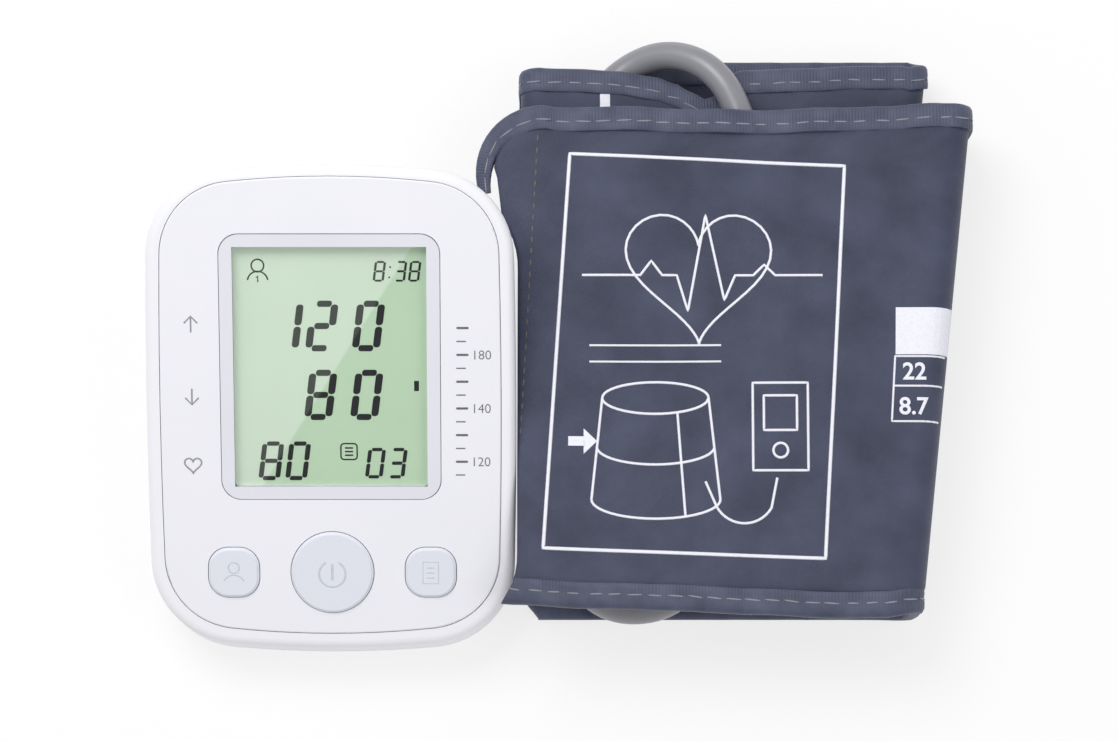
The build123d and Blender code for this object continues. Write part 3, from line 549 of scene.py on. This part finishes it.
def innerPath(y):
    half, radius = cuff["cloth"] / 2, cuff["innerRadius"]
    left = cuff["leftOuter"] + half
    stations = turnPath(left, cuff["middleMid"], cuff["baseMid"], -1, radius)[::-1]
    start = left + radius
    edge = foldX(y, cuff["innerStep"]) - half
    turn = edge - radius
    for step in range(1, cuff["middleSteps"]):
        x = start + (turn - start) * step / cuff["middleSteps"]
        ripple = 0.25 * math.sin(x / 8 + y / 21) * min(1.0, (x - start) / 10, (turn - x) / 10)
        stations.append((x, cuff["middleMid"] + ripple, 0.0, 1.0))
    stations += turnPath(edge, cuff["middleMid"], cuff["coreMid"], 1, radius)
    return stations + [(turn + (cuff["coreEnd"] - turn) * step / cuff["coreSteps"],
                        cuff["coreMid"], 0.0, -1.0) for step in range(1, cuff["coreSteps"] + 1)]


def outerShift(index, count):
    # The band runs slightly askew, so that each layer stands further back than the last
    flapPart = cuff["flapSteps"] / count
    return 1.2 * max(0.0, min(1.0, (index / count - flapPart) / 0.17))


def innerShift(index):
    climb = max(0.0, min(1.0, index / 9))
    second = max(0.0, min(1.0, (index - 73) / 16))
    return 1.2 + 12.5 * climb + 4.9 * second


def outerPoint(index, count, stations, y):
    x, z, nx, nz = stations[index]
    moved = y + outerShift(index, count)
    if index < 70:
        rearPull = max(0.0, (y - 40) / 46.7) ** 2
        frontPull = max(0.0, (10 - y) / 64.8) ** 2
        ease = min(1.0, (70 - index) / 8)
        moved += ease * (rearPull * (along(flapRearLine, x) - cuff["flapRear"])
                         + frontPull * (along(flapFrontLine, x) - cuff["flapFront"]))
    return (x, moved, z), (nx, nz)


def innerPoint(index, count, stations, y):
    x, z, nx, nz = stations[index]
    moved = y + innerShift(index)
    if 17 < index < 73:
        pull = max(0.0, (y - 46) / 40.7) ** 2
        moved += pull * (along(middleRearLine, x) - cuff["middleRear"])
    return (x, moved, z), (nx, nz)


def faceOutward(piece, smoothAngle):
    pick(piece)
    bpy.ops.object.mode_set(mode="EDIT")
    bpy.ops.mesh.select_all(action="SELECT")
    bpy.ops.mesh.normals_make_consistent(inside=False)
    bpy.ops.object.mode_set(mode="OBJECT")
    bpy.ops.object.shade_smooth_by_angle(angle=math.radians(smoothAngle))


def wrapMesh(name, path, point, rows):
    # A grid laid along the band, given the cloth's thickness and soft rims
    count = len(path(0.0))
    deselectAll()
    bpy.ops.mesh.primitive_grid_add(x_subdivisions=count - 1, y_subdivisions=len(rows) - 1,
                                    size=1.0)
    piece = bpy.context.object
    piece.name = name
    paths = [path(y) for y in rows]
    cells = []
    for vertex in piece.data.vertices:
        i = round((vertex.co.x + 0.5) * (count - 1))
        j = round((vertex.co.y + 0.5) * (len(rows) - 1))
        cells.append((i, j))
        place, _ = point(i, count, paths[j], rows[j])
        vertex.co = mm(*place)
    lengths = []
    for stations in paths:
        run = [0.0]
        for a, b in zip(stations, stations[1:]):
            run.append(run[-1] + math.hypot(b[0] - a[0], b[1] - a[1]))
        lengths.append(run)
    layer = piece.data.uv_layers.active.data
    for loop in piece.data.loops:
        i, j = cells[loop.vertex_index]
        layer[loop.index].uv = (lengths[j][i], rows[j])
    addModifier(piece, "SOLIDIFY", thickness=cuff["cloth"] / 1000 - 0.0002, offset=0.0,
                use_even_offset=False)
    addModifier(piece, "BEVEL", width=0.0009, segments=2, limit_method="ANGLE",
                angle_limit=math.radians(50))
    faceOutward(piece, 60)
    return piece


# The tape's section as the way in and the way up, from its upper to its lower inner edge
tapeTop = [(7.0, 1.9), (6.7, 2.1), (5.4, 2.16), (4.3, 2.0), (3.0, 2.14), (1.4, 2.05), (0.5, 1.6),
           (0.06, 0.7)]
tapeProfile = tapeTop + [(a, -b) for a, b in reversed(tapeTop)]


def sweepTape(name, stations):
    # A hem swept along its edge: each station is a place, the way in and the way up
    points, faces, uvs = [], [], []
    ring = len(tapeProfile)
    run = 0.0
    for k, (place, inward, up, width, gather) in enumerate(stations):
        if k:
            run += (Vector(place) - Vector(stations[k - 1][0])).length
        for a, b in tapeProfile:
            spot = Vector(place) + Vector(inward) * a * width + Vector(up) * (b + gather)
            points.append(mm(*spot))
            uvs.append((run, a + (0 if b > 0 else 20)))
    for k in range(len(stations) - 1):
        for r in range(ring):
            a, b = k * ring + r, k * ring + (r + 1) % ring
            faces.append((a, b, b + ring, a + ring))
    faces.append(tuple(range(ring - 1, -1, -1)))
    faces.append(tuple((len(stations) - 1) * ring + r for r in range(ring)))
    mesh = bpy.data.meshes.new(name)
    mesh.from_pydata(points, [], faces)
    layer = mesh.uv_layers.new(name="UVMap")
    for loop in mesh.loops:
        layer.data[loop.index].uv = uvs[loop.vertex_index]
    piece = bpy.data.objects.new(name, mesh)
    bpy.context.scene.collection.objects.link(piece)
    faceOutward(piece, 45)
    return piece


def hemStations(path, point, y, inwardSign):
    stations = path(y)
    found = []
    for k in range(len(stations)):
        place, (nx, nz) = point(k, len(stations), stations, y)
        size = math.hypot(nx, nz)
        gather = 0.12 * math.sin(place[0] / 2.1 + place[2] / 1.7)
        gather += 0.08 * math.sin(place[0] / 0.9)
        found.append((place, (0, inwardSign, 0), (nx / size, 0, nz / size), 1.0, gather))
    return found


def tailStations():
    # The tape leaves the cloth at the rear left corner and ends in a loose tail
    cx, cy = cuff["tailCentre"]
    found = []
    for step in range(16):
        turn = step / 16
        angle = math.radians(192 - 102 * turn)
        radius = cuff["tailRadius"] + 0.9 * math.sin(math.pi * turn)
        place = (cx + radius * math.cos(angle), cy + radius * math.sin(angle) - 0.5 * turn,
                 cuff["flapMid"] - 3.4 * (1 - turn) ** 2)
        inward = (-math.cos(angle), -math.sin(angle), 0)
        found.append((place, inward, (0, 0, 1), 0.5 + 0.5 * min(1.0, turn * 1.5), 0.0))
    return found


def stitchRow(name, stations, inset, spacing, length, lift, size):
    # Each stitch is a short thread that dips into the cloth at both ends
    deselectAll()
    bpy.ops.mesh.primitive_uv_sphere_add(segments=8, ring_count=5, radius=1.0,
                                         rotation=(0, math.pi / 2, 0))
    template = bpy.context.object
    bpy.ops.object.transform_apply(location=True, rotation=True, scale=True)
    template.data.transform(Matrix.Diagonal(
        (length / 2000, size / 1000, 0.3 * size / 1000 + 0.0001, 1)))
    spots = [(Vector(p) + Vector(i) * inset * w + Vector(u) * (lift + g), Vector(u))
             for p, i, u, w, g in stations]
    copies = []
    travelled, due = 0.0, 1.5
    for (a, ua), (b, ub) in zip(spots, spots[1:]):
        gap = (b - a).length
        while gap > 1e-6 and due <= travelled + gap:
            part = (due - travelled) / gap
            here = a.lerp(b, part)
            ahead = (b - a).normalized()
            up = ua.lerp(ub, part).normalized()
            side = up.cross(ahead).normalized()
            turn = Matrix((ahead, side, up)).transposed().to_4x4()
            wobble = Matrix.Rotation(math.radians(chance.uniform(-5, 5)), 4, "Z")
            copies.append(copyAt(template, Matrix.Translation(mm(*here)) @ turn @ wobble))
            due += spacing * chance.uniform(0.93, 1.08)
        travelled += gap
    bpy.data.objects.remove(template)
    piece = joinPieces(name, copies)
    pick(piece)
    bpy.ops.object.shade_smooth()
    return piece


def bendWithFlap(piece, material, slotName, *nodes):
    # The right fold turns between the bottom layer and the flap; here the pieces get their
    # material, hide the CAD nodes they stand for and have their place baked into the mesh
    dress(piece, material, slotName, None, *nodes)
    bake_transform(piece)


rowsOfY = [-48.6 + 129.4 * j / 44 for j in range(45)]
outerWrap = wrapMesh("outerWrap", outerPath, outerPoint, rowsOfY)
innerWrap = wrapMesh("innerWrap", innerPath, innerPoint, rowsOfY)
rear, front = cuff["flapRear"], cuff["flapFront"]
rearHem = tailStations() + [s for s in hemStations(outerPath, outerPoint, rear, -1)
                            if s[0][0] > 60.5 or s[0][2] < 25]
frontHem = hemStations(outerPath, outerPoint, front, 1)
for k in range(6):
    # The hem's left end is cut along the round corner of the case
    place, _, up, width, gather = frontHem[k]
    frontHem[k] = (place, (0.56 * (1 - k / 6) ** 1.5, 1, 0), up, width, gather)
innerRearHem = hemStations(innerPath, innerPoint, rear, -1)
innerFrontHem = hemStations(innerPath, innerPoint, front, 1)
outerTapes = joinPieces("outerTapes", [sweepTape("outerTapes", hem)
                                       for hem in (rearHem, frontHem)])
innerTapes = joinPieces("innerTapes", [sweepTape("innerTapes", hem)
                                       for hem in (innerRearHem, innerFrontHem)])
# Long hem stitches: their pitch and length, the height over the cloth's middle and half width
rearStitch = {"spacing": 5.6, "length": 4.8, "lift": 2.0, "size": 0.24}
frontStitch = {"spacing": 5.4, "length": 4.7, "lift": 2.0, "size": 0.24}
outerStitches = joinPieces("outerStitches", [
    stitchRow("rearStitches", rearHem, 4.4, **rearStitch),
    stitchRow("frontStitches", frontHem, 3.9, **frontStitch)])
innerStitches = joinPieces("innerStitches", [
    stitchRow("innerRearStitches", innerRearHem, 4.4, **rearStitch),
    stitchRow("innerFrontStitches", innerFrontHem, 4.0, **frontStitch)])


# White screen print on the flap: a frame, a heart with a pulse line, and a cuff on a tube

def clothSpot(x, y, wrap=outerWrap, missed=cuff["flapMid"] + 1.6, above=60):
    # The place on the cloth seen from straight above, and the cloth's normal there
    hit, spot, normal, _ = wrap.ray_cast(mm(x, y, above), Vector((0, 0, -1)))
    return (spot, normal) if hit else (mm(x, y, missed), Vector((0, 0, 0)))


def clothUnder(place, missed):
    # Height of the printed cloth under a place in the frame
    hit, spot, _, _ = outerWrap.ray_cast(Vector((place.x, place.y, 0.06)), Vector((0, 0, -1)))
    return spot.z if hit else missed


def inkLine(points, width, closed=False):
    # The line is sampled closely, so that it lies on the waves of the cloth
    dense = []
    ends = points[1:] + (points[:1] if closed else [])
    for (x0, y0), (x1, y1) in zip(points, ends):
        steps = max(1, round(math.hypot(x1 - x0, y1 - y0) / 0.8))
        dense += [(x0 + (x1 - x0) * k / steps, y0 + (y1 - y0) * k / steps) for k in range(steps)]
    if not closed:
        dense.append(points[-1])
    ink = curveMesh("ink", [[clothSpot(x, y)[0] for x, y in dense]], width, closed)
    for vertex in ink.data.vertices:
        ground = clothUnder(vertex.co, vertex.co.z)
        vertex.co.z = ground + max(-0.00008, min(0.0001, 0.25 * (vertex.co.z - ground)))
    return ink


def inkBlock(corners, cells, *cloth):
    # A filled patch between four corners, laid on the cloth and over the edge of the fold
    deselectAll()
    bpy.ops.mesh.primitive_grid_add(x_subdivisions=cells[0], y_subdivisions=cells[1], size=1.0)
    patch = bpy.context.object
    (ax, ay), (bx, by), (cx, cy), (dx, dy) = corners
    for vertex in patch.data.vertices:
        s, t = vertex.co.x + 0.5, vertex.co.y + 0.5
        x = (ax * (1 - s) + bx * s) * (1 - t) + (dx * (1 - s) + cx * s) * t
        y = (ay * (1 - s) + by * s) * (1 - t) + (dy * (1 - s) + cy * s) * t
        spot, normal = clothSpot(x, y, *cloth)
        vertex.co = spot + normal * 0.00006
    addModifier(patch, "SOLIDIFY", thickness=0.00008, offset=0.0)
    return patch


def inkText(text, x, y, size):
    label = textMesh(text, size / 1000, 0.00004, 0.00012)
    bpy.ops.object.mode_set(mode="EDIT")
    bpy.ops.mesh.select_all(action="SELECT")
    bpy.ops.mesh.quads_convert_to_tris()
    bpy.ops.mesh.subdivide(number_cuts=2)
    bpy.ops.object.mode_set(mode="OBJECT")
    for vertex in label.data.vertices:
        vertex.co += mm(x, y)
        vertex.co.z += clothUnder(vertex.co, 0.0338) + 0.00004
    return label


flapPrint = {"frameLine": 1.05, "drawLine": 0.75, "levelLine": 0.6, "figureSize": 6.6}
# The cuff pictogram is a tapered band, its seam and the tube to a small box
band = {"x": 88, "top": 4, "middle": -9.5, "foot": -24, "topHalf": 14.5, "footHalf": 17.5}
thin, fine = flapPrint["drawLine"], flapPrint["levelLine"]
tube = arcPoints(112, -22, 8.5, 200, 330, 16)
bandSides = [[(band["x"] + sign * band["topHalf"], band["top"]),
              (band["x"] + sign * band["footHalf"], band["foot"])] for sign in (-1, 1)]
inkLines = [
    ([(64.7, 72.3), (140.5, 68.9), (133.8, -40.1), (57.4, -37.3)], flapPrint["frameLine"], True),
    (heartPoints(100, 40, 40, 60), thin, True),
    ([(68, 38), (84, 38), (87, 42), (90, 38), (94, 38), (97, 28), (102, 55), (107, 31),
      (110, 38), (115, 38), (118, 41), (121, 38), (134, 38)], thin),
    (arcPoints(band["x"], band["top"], band["topHalf"], 0, 345, 40, 0.3), thin, True),
    (arcPoints(band["x"], band["foot"], band["footHalf"], 180, 360, 24, 0.3), thin),
    (bandSides[0], thin), (bandSides[1], thin), ([(94, -0.2), (96, -28.6)], thin),
    (arcPoints(band["x"], band["middle"], 16.0, 185, 355, 24, 0.3), thin),
    ([(101.5, -19)] + tube + [(121, -18)], thin),
    ([(114.5, 8), (129.5, 8), (129.5, -16), (114.5, -16)], thin, True),
    ([(117.5, 4.5), (126.5, 4.5), (126.5, -5), (117.5, -5)], thin, True),
    (arcPoints(122, -10.5, 2.0, 0, 342, 18), thin, True),
    # Two level marks, and the box of two cells at the fold
    ([(70, 14.0), (106, 14.0)], fine), ([(70, 18.5), (106, 18.5)], fine),
    ([(167.2, 15.4), (153.5, 15.4), (152.3, -2.6), (165.1, -2.6)], fine),
    ([(153.0, 7.2), (166.3, 7.2)], fine),
]
# A block arrow to the band, and a white block at the fold
inkBlocks = [
    ([(64.2, -9.2), (68.6, -9.2), (68.6, -6.6), (64.2, -6.6)], (6, 4)),
    ([(68.4, -11.4), (72.0, -7.95), (72.0, -7.85), (68.4, -4.4)], (6, 6)),
    ([(153.6, 15.9), (168.2, 15.9), (169.6, 29.0), (153.9, 29.0)], (20, 12)),
]
inkPieces = [inkLine(*line) for line in inkLines] + [inkBlock(*block) for block in inkBlocks]
for text, textX, textY in (("22", 155.4, 9.0), ("8.7", 154.3, -0.6)):
    inkPieces.append(inkText(text, textX, textY, flapPrint["figureSize"]))
flapInk = joinPieces("flapInk", inkPieces)
deselectAll()

# Dark seam stitches down the left of the flap
seam = {"start": (55.9, 78.2), "run": (-4.8, -86.0), "steps": 60,
        "stitch": {"inset": 0.0, "spacing": 3.3, "length": 1.9, "lift": 0.0, "size": 0.3}}
seamStations = []
for k in range(seam["steps"] + 1):
    seamX, seamY = (a + b * k / seam["steps"] for a, b in zip(seam["start"], seam["run"]))
    seamZ = clothSpot(seamX, seamY)[0].z * 1000
    seamStations.append(((seamX, seamY, seamZ), (1, 0, 0), (0, 0, 1), 1.0, 0.0))
flapSeam = stitchRow("flapSeam", seamStations, **seam["stitch"])
print("flap print done")

bendWithFlap(outerWrap, cuffNylon, "nylon", "flap", "flap_fold", "base_layer")
bendWithFlap(outerTapes, cuffTape, "tape", "flap_tape")
bendWithFlap(outerStitches, stitchThread, "tape")
bendWithFlap(flapInk, whiteInk, "tape")
bendWithFlap(flapSeam, seamThread, "tape")
# A small white mark at the edge of the middle layer
rangeMark = inkBlock([(73.2, 85.95), (76.0, 85.95), (76.0, 92.45), (73.2, 92.45)], (4, 6),
                     innerWrap, 21.1, 26)
rangeMark = joinPieces("rangeMark", [rangeMark])
dress(rangeMark, whiteInk, "tape", "cuff")
dress(innerWrap, cuffNylon, "nylon", "cuff",
      "left_fold", "middle_layer", "inner_fold", "core_layer")
dress(innerTapes, cuffTape, "tape", "cuff", "band_tape")
dress(innerStitches, stitchThread, "tape", "cuff")
print("cuff cloth done")


def softPad(name, x0, x1, y0, y1, z, thick, corner):
    # A sewn patch: thin sheet with round corners and a soft rim
    deselectAll()
    bpy.ops.mesh.primitive_grid_add(x_subdivisions=36, y_subdivisions=72, size=1.0)
    piece = bpy.context.object
    piece.name = name
    for vertex in piece.data.vertices:
        x = x0 + (x1 - x0) * (vertex.co.x + 0.5)
        y = y0 + (y1 - y0) * (vertex.co.y + 0.5)
        near = [min(x - x0, x1 - x), min(y - y0, y1 - y)]
        if near[0] < corner and near[1] < corner:
            dx, dy = corner - near[0], corner - near[1]
            spare = 1 - max(dx, dy) / math.hypot(dx, dy)
            x += dx * spare * (1 if x < (x0 + x1) / 2 else -1)
            y += dy * spare * (1 if y < (y0 + y1) / 2 else -1)
        vertex.co = mm(x, y, z)
    layer = piece.data.uv_layers.active.data
    for loop in piece.data.loops:
        spot = piece.data.vertices[loop.vertex_index].co
        layer[loop.index].uv = (spot.x * 1000, spot.y * 1000)
    addModifier(piece, "SOLIDIFY", thickness=thick / 1000, offset=0.0)
    addModifier(piece, "BEVEL", width=thick / 3500, segments=2, limit_method="ANGLE")
    bpy.ops.object.shade_smooth_by_angle(angle=math.radians(60))
    return piece


airBladder = softPad("airBladder", 59.2, 148.5, -30.8, 80.6, 19.35, 1.3, 8.0)
dress(airBladder, siliconeTube, "bladder_sheet", "cuff", "bladder")
loopPatch = softPad("loopPatch", 59.9, 99.9, -21.1, 70.9, 21.4, 0.55, 5.0)
dress(loopPatch, loopFelt, "pile", "cuff", "loop_patch")
hookPatch = softPad("hookPatch", 90.0, 130.0, -16.2, 83.8, 4.6, 0.5, 5.0)
dress(hookPatch, hookFelt, "pile", "cuff", "hook_patch")
print("patches done")


# Printed and displayed marks on the face

glassTop = -2.18


def roundedBar(length, width, thick, corner=0.42):
    # A small bar with round corners, lying flat at the origin, in millimetres
    deselectAll()
    bpy.ops.mesh.primitive_cube_add(size=1.0)
    bar = bpy.context.object
    bar.scale = (length / 1000, width / 1000, thick / 1000)
    bpy.ops.object.transform_apply(location=False, rotation=False, scale=True)
    bpy.ops.object.mode_set(mode="EDIT")
    bpy.ops.mesh.select_mode(type="EDGE")
    bpy.ops.mesh.select_all(action="DESELECT")
    bpy.ops.object.mode_set(mode="OBJECT")
    for edge in bar.data.edges:
        a, b = (bar.data.vertices[i].co for i in edge.vertices)
        edge.select = abs(a.z - b.z) > 0.4 * thick / 1000
    bpy.ops.object.mode_set(mode="EDIT")
    bpy.ops.mesh.bevel(offset=corner * min(length, width) / 1000, segments=3, affect="EDGES")
    bpy.ops.object.mode_set(mode="OBJECT")
    return bar


# Segments lit in each figure: clockwise from the top one, and last the middle one
litSegments = {
    "0": (1, 1, 1, 1, 1, 1, 0), "1": (0, 0, 0, 0, 1, 1, 0), "2": (1, 1, 0, 1, 1, 0, 1),
    "3": (1, 1, 1, 1, 0, 0, 1), "8": (1, 1, 1, 1, 1, 1, 1),
}


def segmentFigures(text, left, foot, width, height, pitch, stroke, lean=0.13):
    # Leaning seven segment figures on the glass, with a small gap at every corner
    copies = []
    gap = 0.12 * stroke
    inner = width - stroke
    half = (height - stroke) / 2
    level = roundedBar(inner - stroke * 0.72 - gap, stroke * 0.86, 0.05)
    upright = roundedBar(stroke, half - stroke * 0.1 - gap, 0.05)
    slant = Matrix(((1, lean, 0, 0), (0, 1, 0, 0), (0, 0, 1, 0), (0, 0, 0, 1)))
    for number, figure in enumerate(text):
        u = left + number * pitch
        places = [
            (level, inner / 2, height - stroke), (upright, inner, half * 1.5),
            (upright, inner, half * 0.5), (level, inner / 2, 0), (upright, 0, half * 0.5),
            (upright, 0, half * 1.5), (level, inner / 2, half)]
        for lit, (bar, across, up) in zip(litSegments[figure], places):
            if not lit:
                continue
            here = Matrix.Translation(((across + stroke / 2) / 1000, (up + stroke / 2) / 1000, 0))
            copies.append(copyAt(bar, onFace(u, foot, glassTop + 0.02) @ slant @ here))
    for bar in (level, upright):
        bpy.data.objects.remove(bar)
    return copies


def flatMark(points, width, height, closed=False, lift=0.02):
    # A drawn line on the face: a thin round line pressed nearly flat
    mark = curveMesh("mark", [[(u / 1000, v / 1000, 0) for u, v in points]], width, closed)
    mark.data.transform(onFace(0, 0, height) @ Matrix.Diagonal((1, 1, 2 * lift / width, 1)))
    return mark


def roundedBox(u, v, width, height, corner, steps=5):
    found = []
    for cu, cv, start in ((1, 1, 0), (-1, 1, 90), (-1, -1, 180), (1, -1, 270)):
        found += arcPoints(u + cu * (width / 2 - corner), v + cv * (height / 2 - corner), corner,
                           start, start + 90, steps)
    return found


# The figures on the glass: text, left, foot, width, height, pitch and stroke
figures = []
for row in (("1", -10.7, 14.9, 4.0, 14.1, 0, 1.95), ("2", -7.0, 14.9, 7.6, 14.1, 0, 1.95),
            ("0", 5.6, 14.9, 7.6, 14.1, 0, 1.95), ("80", -7.5, -4.0, 7.6, 14.1, 12.45, 1.95),
            ("80", -20.1, -20.6, 5.9, 10.9, 7.3, 1.35), ("03", 8.9, -20.1, 4.8, 8.6, 5.9, 1.05),
            ("8", 11.5, 34.0, 3.0, 5.7, 0, 0.62), ("38", 17.2, 34.0, 3.0, 5.7, 3.8, 0.62)):
    figures += segmentFigures(*row)
# The clock's colon, a level bar, a person with a number and a page: points, width, closed
glassMarks = [
    (arcPoints(16.0, 35.2, 0.12, 0, 300, 5), 0.34, True),
    (arcPoints(16.3, 38.0, 0.12, 0, 300, 5), 0.34, True),
    ([(23.15, 4.1), (23.15, 6.9)], 1.3, False),
    (arcPoints(-19.4, 38.4, 1.7, 0, 342, 22), 0.42, True),
    (arcPoints(-19.4, 34.1, 2.75, 8, 172, 18), 0.42, False),
    ([(-19.8, 35.1), (-19.35, 35.5), (-19.35, 34.0)], 0.4, False),
    (roundedBox(4.7, -12.6, 4.4, 4.4, 0.9), 0.4, True),
]
glassMarks += [([(3.6, markV), (5.8, markV)], 0.42, False) for markV in (-11.6, -12.6, -13.6)]
figures += [flatMark(points, width, glassTop, closed) for points, width, closed in glassMarks]
lcdFigures = joinPieces("lcdFigures", figures)
dress(lcdFigures, segmentInk, "black_plastic", "monitor")

# Scale beside the display: long and short marks in turn, with plain figures
scale = {"right": 34.1, "firstV": 21.8, "pitch": 3.67, "drift": -0.035, "count": 12,
         "bars": ((3.3, 0.62), (2.6, 0.34)), "lift": 0.31, "textU": 38.2, "textDrop": 1.25,
         "figures": {2: "180", 6: "140", 10: "120"}}
bars = [roundedBar(length, width, 0.04) for length, width in scale["bars"]]
ticks, labels = [], []
for number in range(scale["count"]):
    slide = scale["drift"] * number
    tickU = scale["right"] + scale["bars"][number % 2][0] / 2 + slide
    tickV = scale["firstV"] - scale["pitch"] * number
    ticks.append(copyAt(bars[number % 2], onFace(tickU, tickV, scale["lift"])))
    if number in scale["figures"]:
        label = textMesh(scale["figures"][number], 0.0036, 0.00002, -0.00003)
        label.data.transform(onFace(scale["textU"] + slide, tickV - scale["textDrop"],
                                    scale["lift"]))
        labels.append(label)
for bar in bars:
    bpy.data.objects.remove(bar)
faceScale = joinPieces("faceScale", ticks + labels)
dress(faceScale, darkPrintAndShadowInk, "border_print", "monitor")

# Plain marks beside the three readings: up, down and a heart
reading = {"u": -37.4, "half": 1.8, "line": 0.45, "lift": 0.31}
left, right = reading["u"] - reading["half"], reading["u"] + reading["half"]
sideMarks = [
    flatMark(points, reading["line"], reading["lift"], closed) for points, closed in (
        ([(reading["u"], 20.6), (reading["u"], 24.8)], False),
        ([(left, 23.1), (reading["u"], 25.0), (right, 23.1)], False),
        ([(reading["u"], 5.2), (reading["u"], 1.0)], False),
        ([(left, 2.7), (reading["u"], 0.8), (right, 2.7)], False),
        (heartPoints(reading["u"], -15.7, 4.6), True))]
readingMarks = joinPieces("readingMarks", sideMarks)
dress(readingMarks, greyInk, "border_print", "monitor")

# The pale silver frame printed round the window, and a painted shadow: a dark line along the
# window's top and side edges
display = {"v": 11.0, "width": 59.3, "length": 72.5, "corner": 5.4, "lift": 0.35,
           "windowWidth": 52.2, "windowLength": 65.6, "edgeShadowLine": 0.34, "edgeShadowHeight": -0.88}
halfWidth, halfLength = display["windowWidth"] / 2, display["windowLength"] / 2
frameOuter = roundedBox(0, 0, display["width"], display["length"], display["corner"], 9)
frameInner = [(su * halfWidth, sv * halfLength)
              for su, sv in ((1, 1), (-1, 1), (-1, -1), (1, -1))]
displayFrame = curveMesh("displayFrame", [[(u / 1000, v / 1000, 0) for u, v in ring]
                                          for ring in (frameOuter, frameInner)], 0, True)
displayFrame.data.transform(onFace(0, display["v"], display["lift"]))
dress(displayFrame, silverBorder, "border_print", "monitor")
windowShadowLine = [(-26.3, -21.6), (-26.3, 43.5), (-26.0, 44.0), (26.0, 44.0), (26.3, 43.5),
              (26.3, -21.6)]
windowEdgeShadow = joinPieces("windowEdgeShadow", [flatMark(windowShadowLine, display["edgeShadowLine"],
                                                display["edgeShadowHeight"])])
dress(windowEdgeShadow, darkPrintAndShadowInk, "border_print", "monitor")

# Faint raised marks on the keys: a person, a power bar and a page, as points, width, closed
key = {"top": 1.2, "rise": 0.05, "line": 0.36}
page = [([(24.7, -42.6), (28.9, -42.6), (28.9, -48.6), (24.7, -48.6)], key["line"], True)]
page += [([(25.8, markV), (27.8, markV)], key["line"], False) for markV in (-44.2, -45.6, -47.0)]
keyMarks = (
    ("personMark", "user_key", [(arcPoints(-26.8, -44.2, 1.5, 0, 342, 20), key["line"], True),
                                (arcPoints(-26.8, -49.2, 3.0, 25, 155, 16), key["line"], False)]),
    ("powerMark", "start_key", [([(0, -43.2), (0, -47.6)], 0.6, False),
                                (arcPoints(0, -45.9, 3.6, 118, 422, 30), 0.5, False)]),
    ("pageMark", "memory_key", page),
)
for markName, body, marks in keyMarks:
    keyMark = joinPieces(markName, [flatMark(points, width, key["top"], closed, key["rise"])
                                    for points, width, closed in marks])
    dress(keyMark, faintInk, "button_abs", body)
print("face marks done")


# Stage

bpy.ops.mesh.primitive_plane_add(size=4, location=(0, 0, -0.0003))
floor = bpy.context.object
floor.name = "paleFloor"
floorPaint = newMaterial("Pale studio paper")
rayKind = addNode(floorPaint, "LightPath")
shownToAll = addNode(floorPaint, "Math", {"operation": "MAXIMUM"},
                     {0: (rayKind, "Is Camera Ray"), 1: (rayKind, "Is Glossy Ray")})
shownThrough = addNode(floorPaint, "Math", {"operation": "MAXIMUM"},
                       {0: shownToAll, 1: (rayKind, "Is Transmission Ray")})
glowPart = addNode(floorPaint, "Math", {"operation": "MULTIPLY", 1: 0.72}, {0: shownThrough})
paper = addNode(floorPaint, "BsdfPrincipled",
                {"Base Color": srgb("#f6f6f8"), "Roughness": 0.9})
glow = addNode(floorPaint, "Emission", {"Color": (1, 1, 1, 1), "Strength": 1.0})
finishMaterial(floorPaint, None, {0: glowPart, 1: paper, 2: glow}, "MixShader")
floor.data.materials.append(floorPaint)

world = bpy.data.worlds.new("Soft studio")
bpy.context.scene.world = world
world.use_nodes = True
world.node_tree.nodes["Background"].inputs["Color"].default_value = (1, 1, 1, 1)
world.node_tree.nodes["Background"].inputs["Strength"].default_value = 0.56
lamps = {
    "keyLamp": {"place": (-0.35, 0.45, 0.95), "size": 0.6, "power": 6.6},
    "fillLamp": {"place": (0.55, -0.25, 0.85), "size": 0.6, "power": 1.6},
}
for lampName, lamp in lamps.items():
    bpy.ops.object.light_add(type="AREA", location=lamp["place"])
    light = bpy.context.object
    light.name = lampName
    light.data.size = lamp["size"]
    light.data.energy = lamp["power"]
    light.rotation_euler = (-Vector(lamp["place"])).to_track_quat("-Z", "Y").to_euler()

bpy.context.scene.view_settings.view_transform = "Standard"
print("stage done")
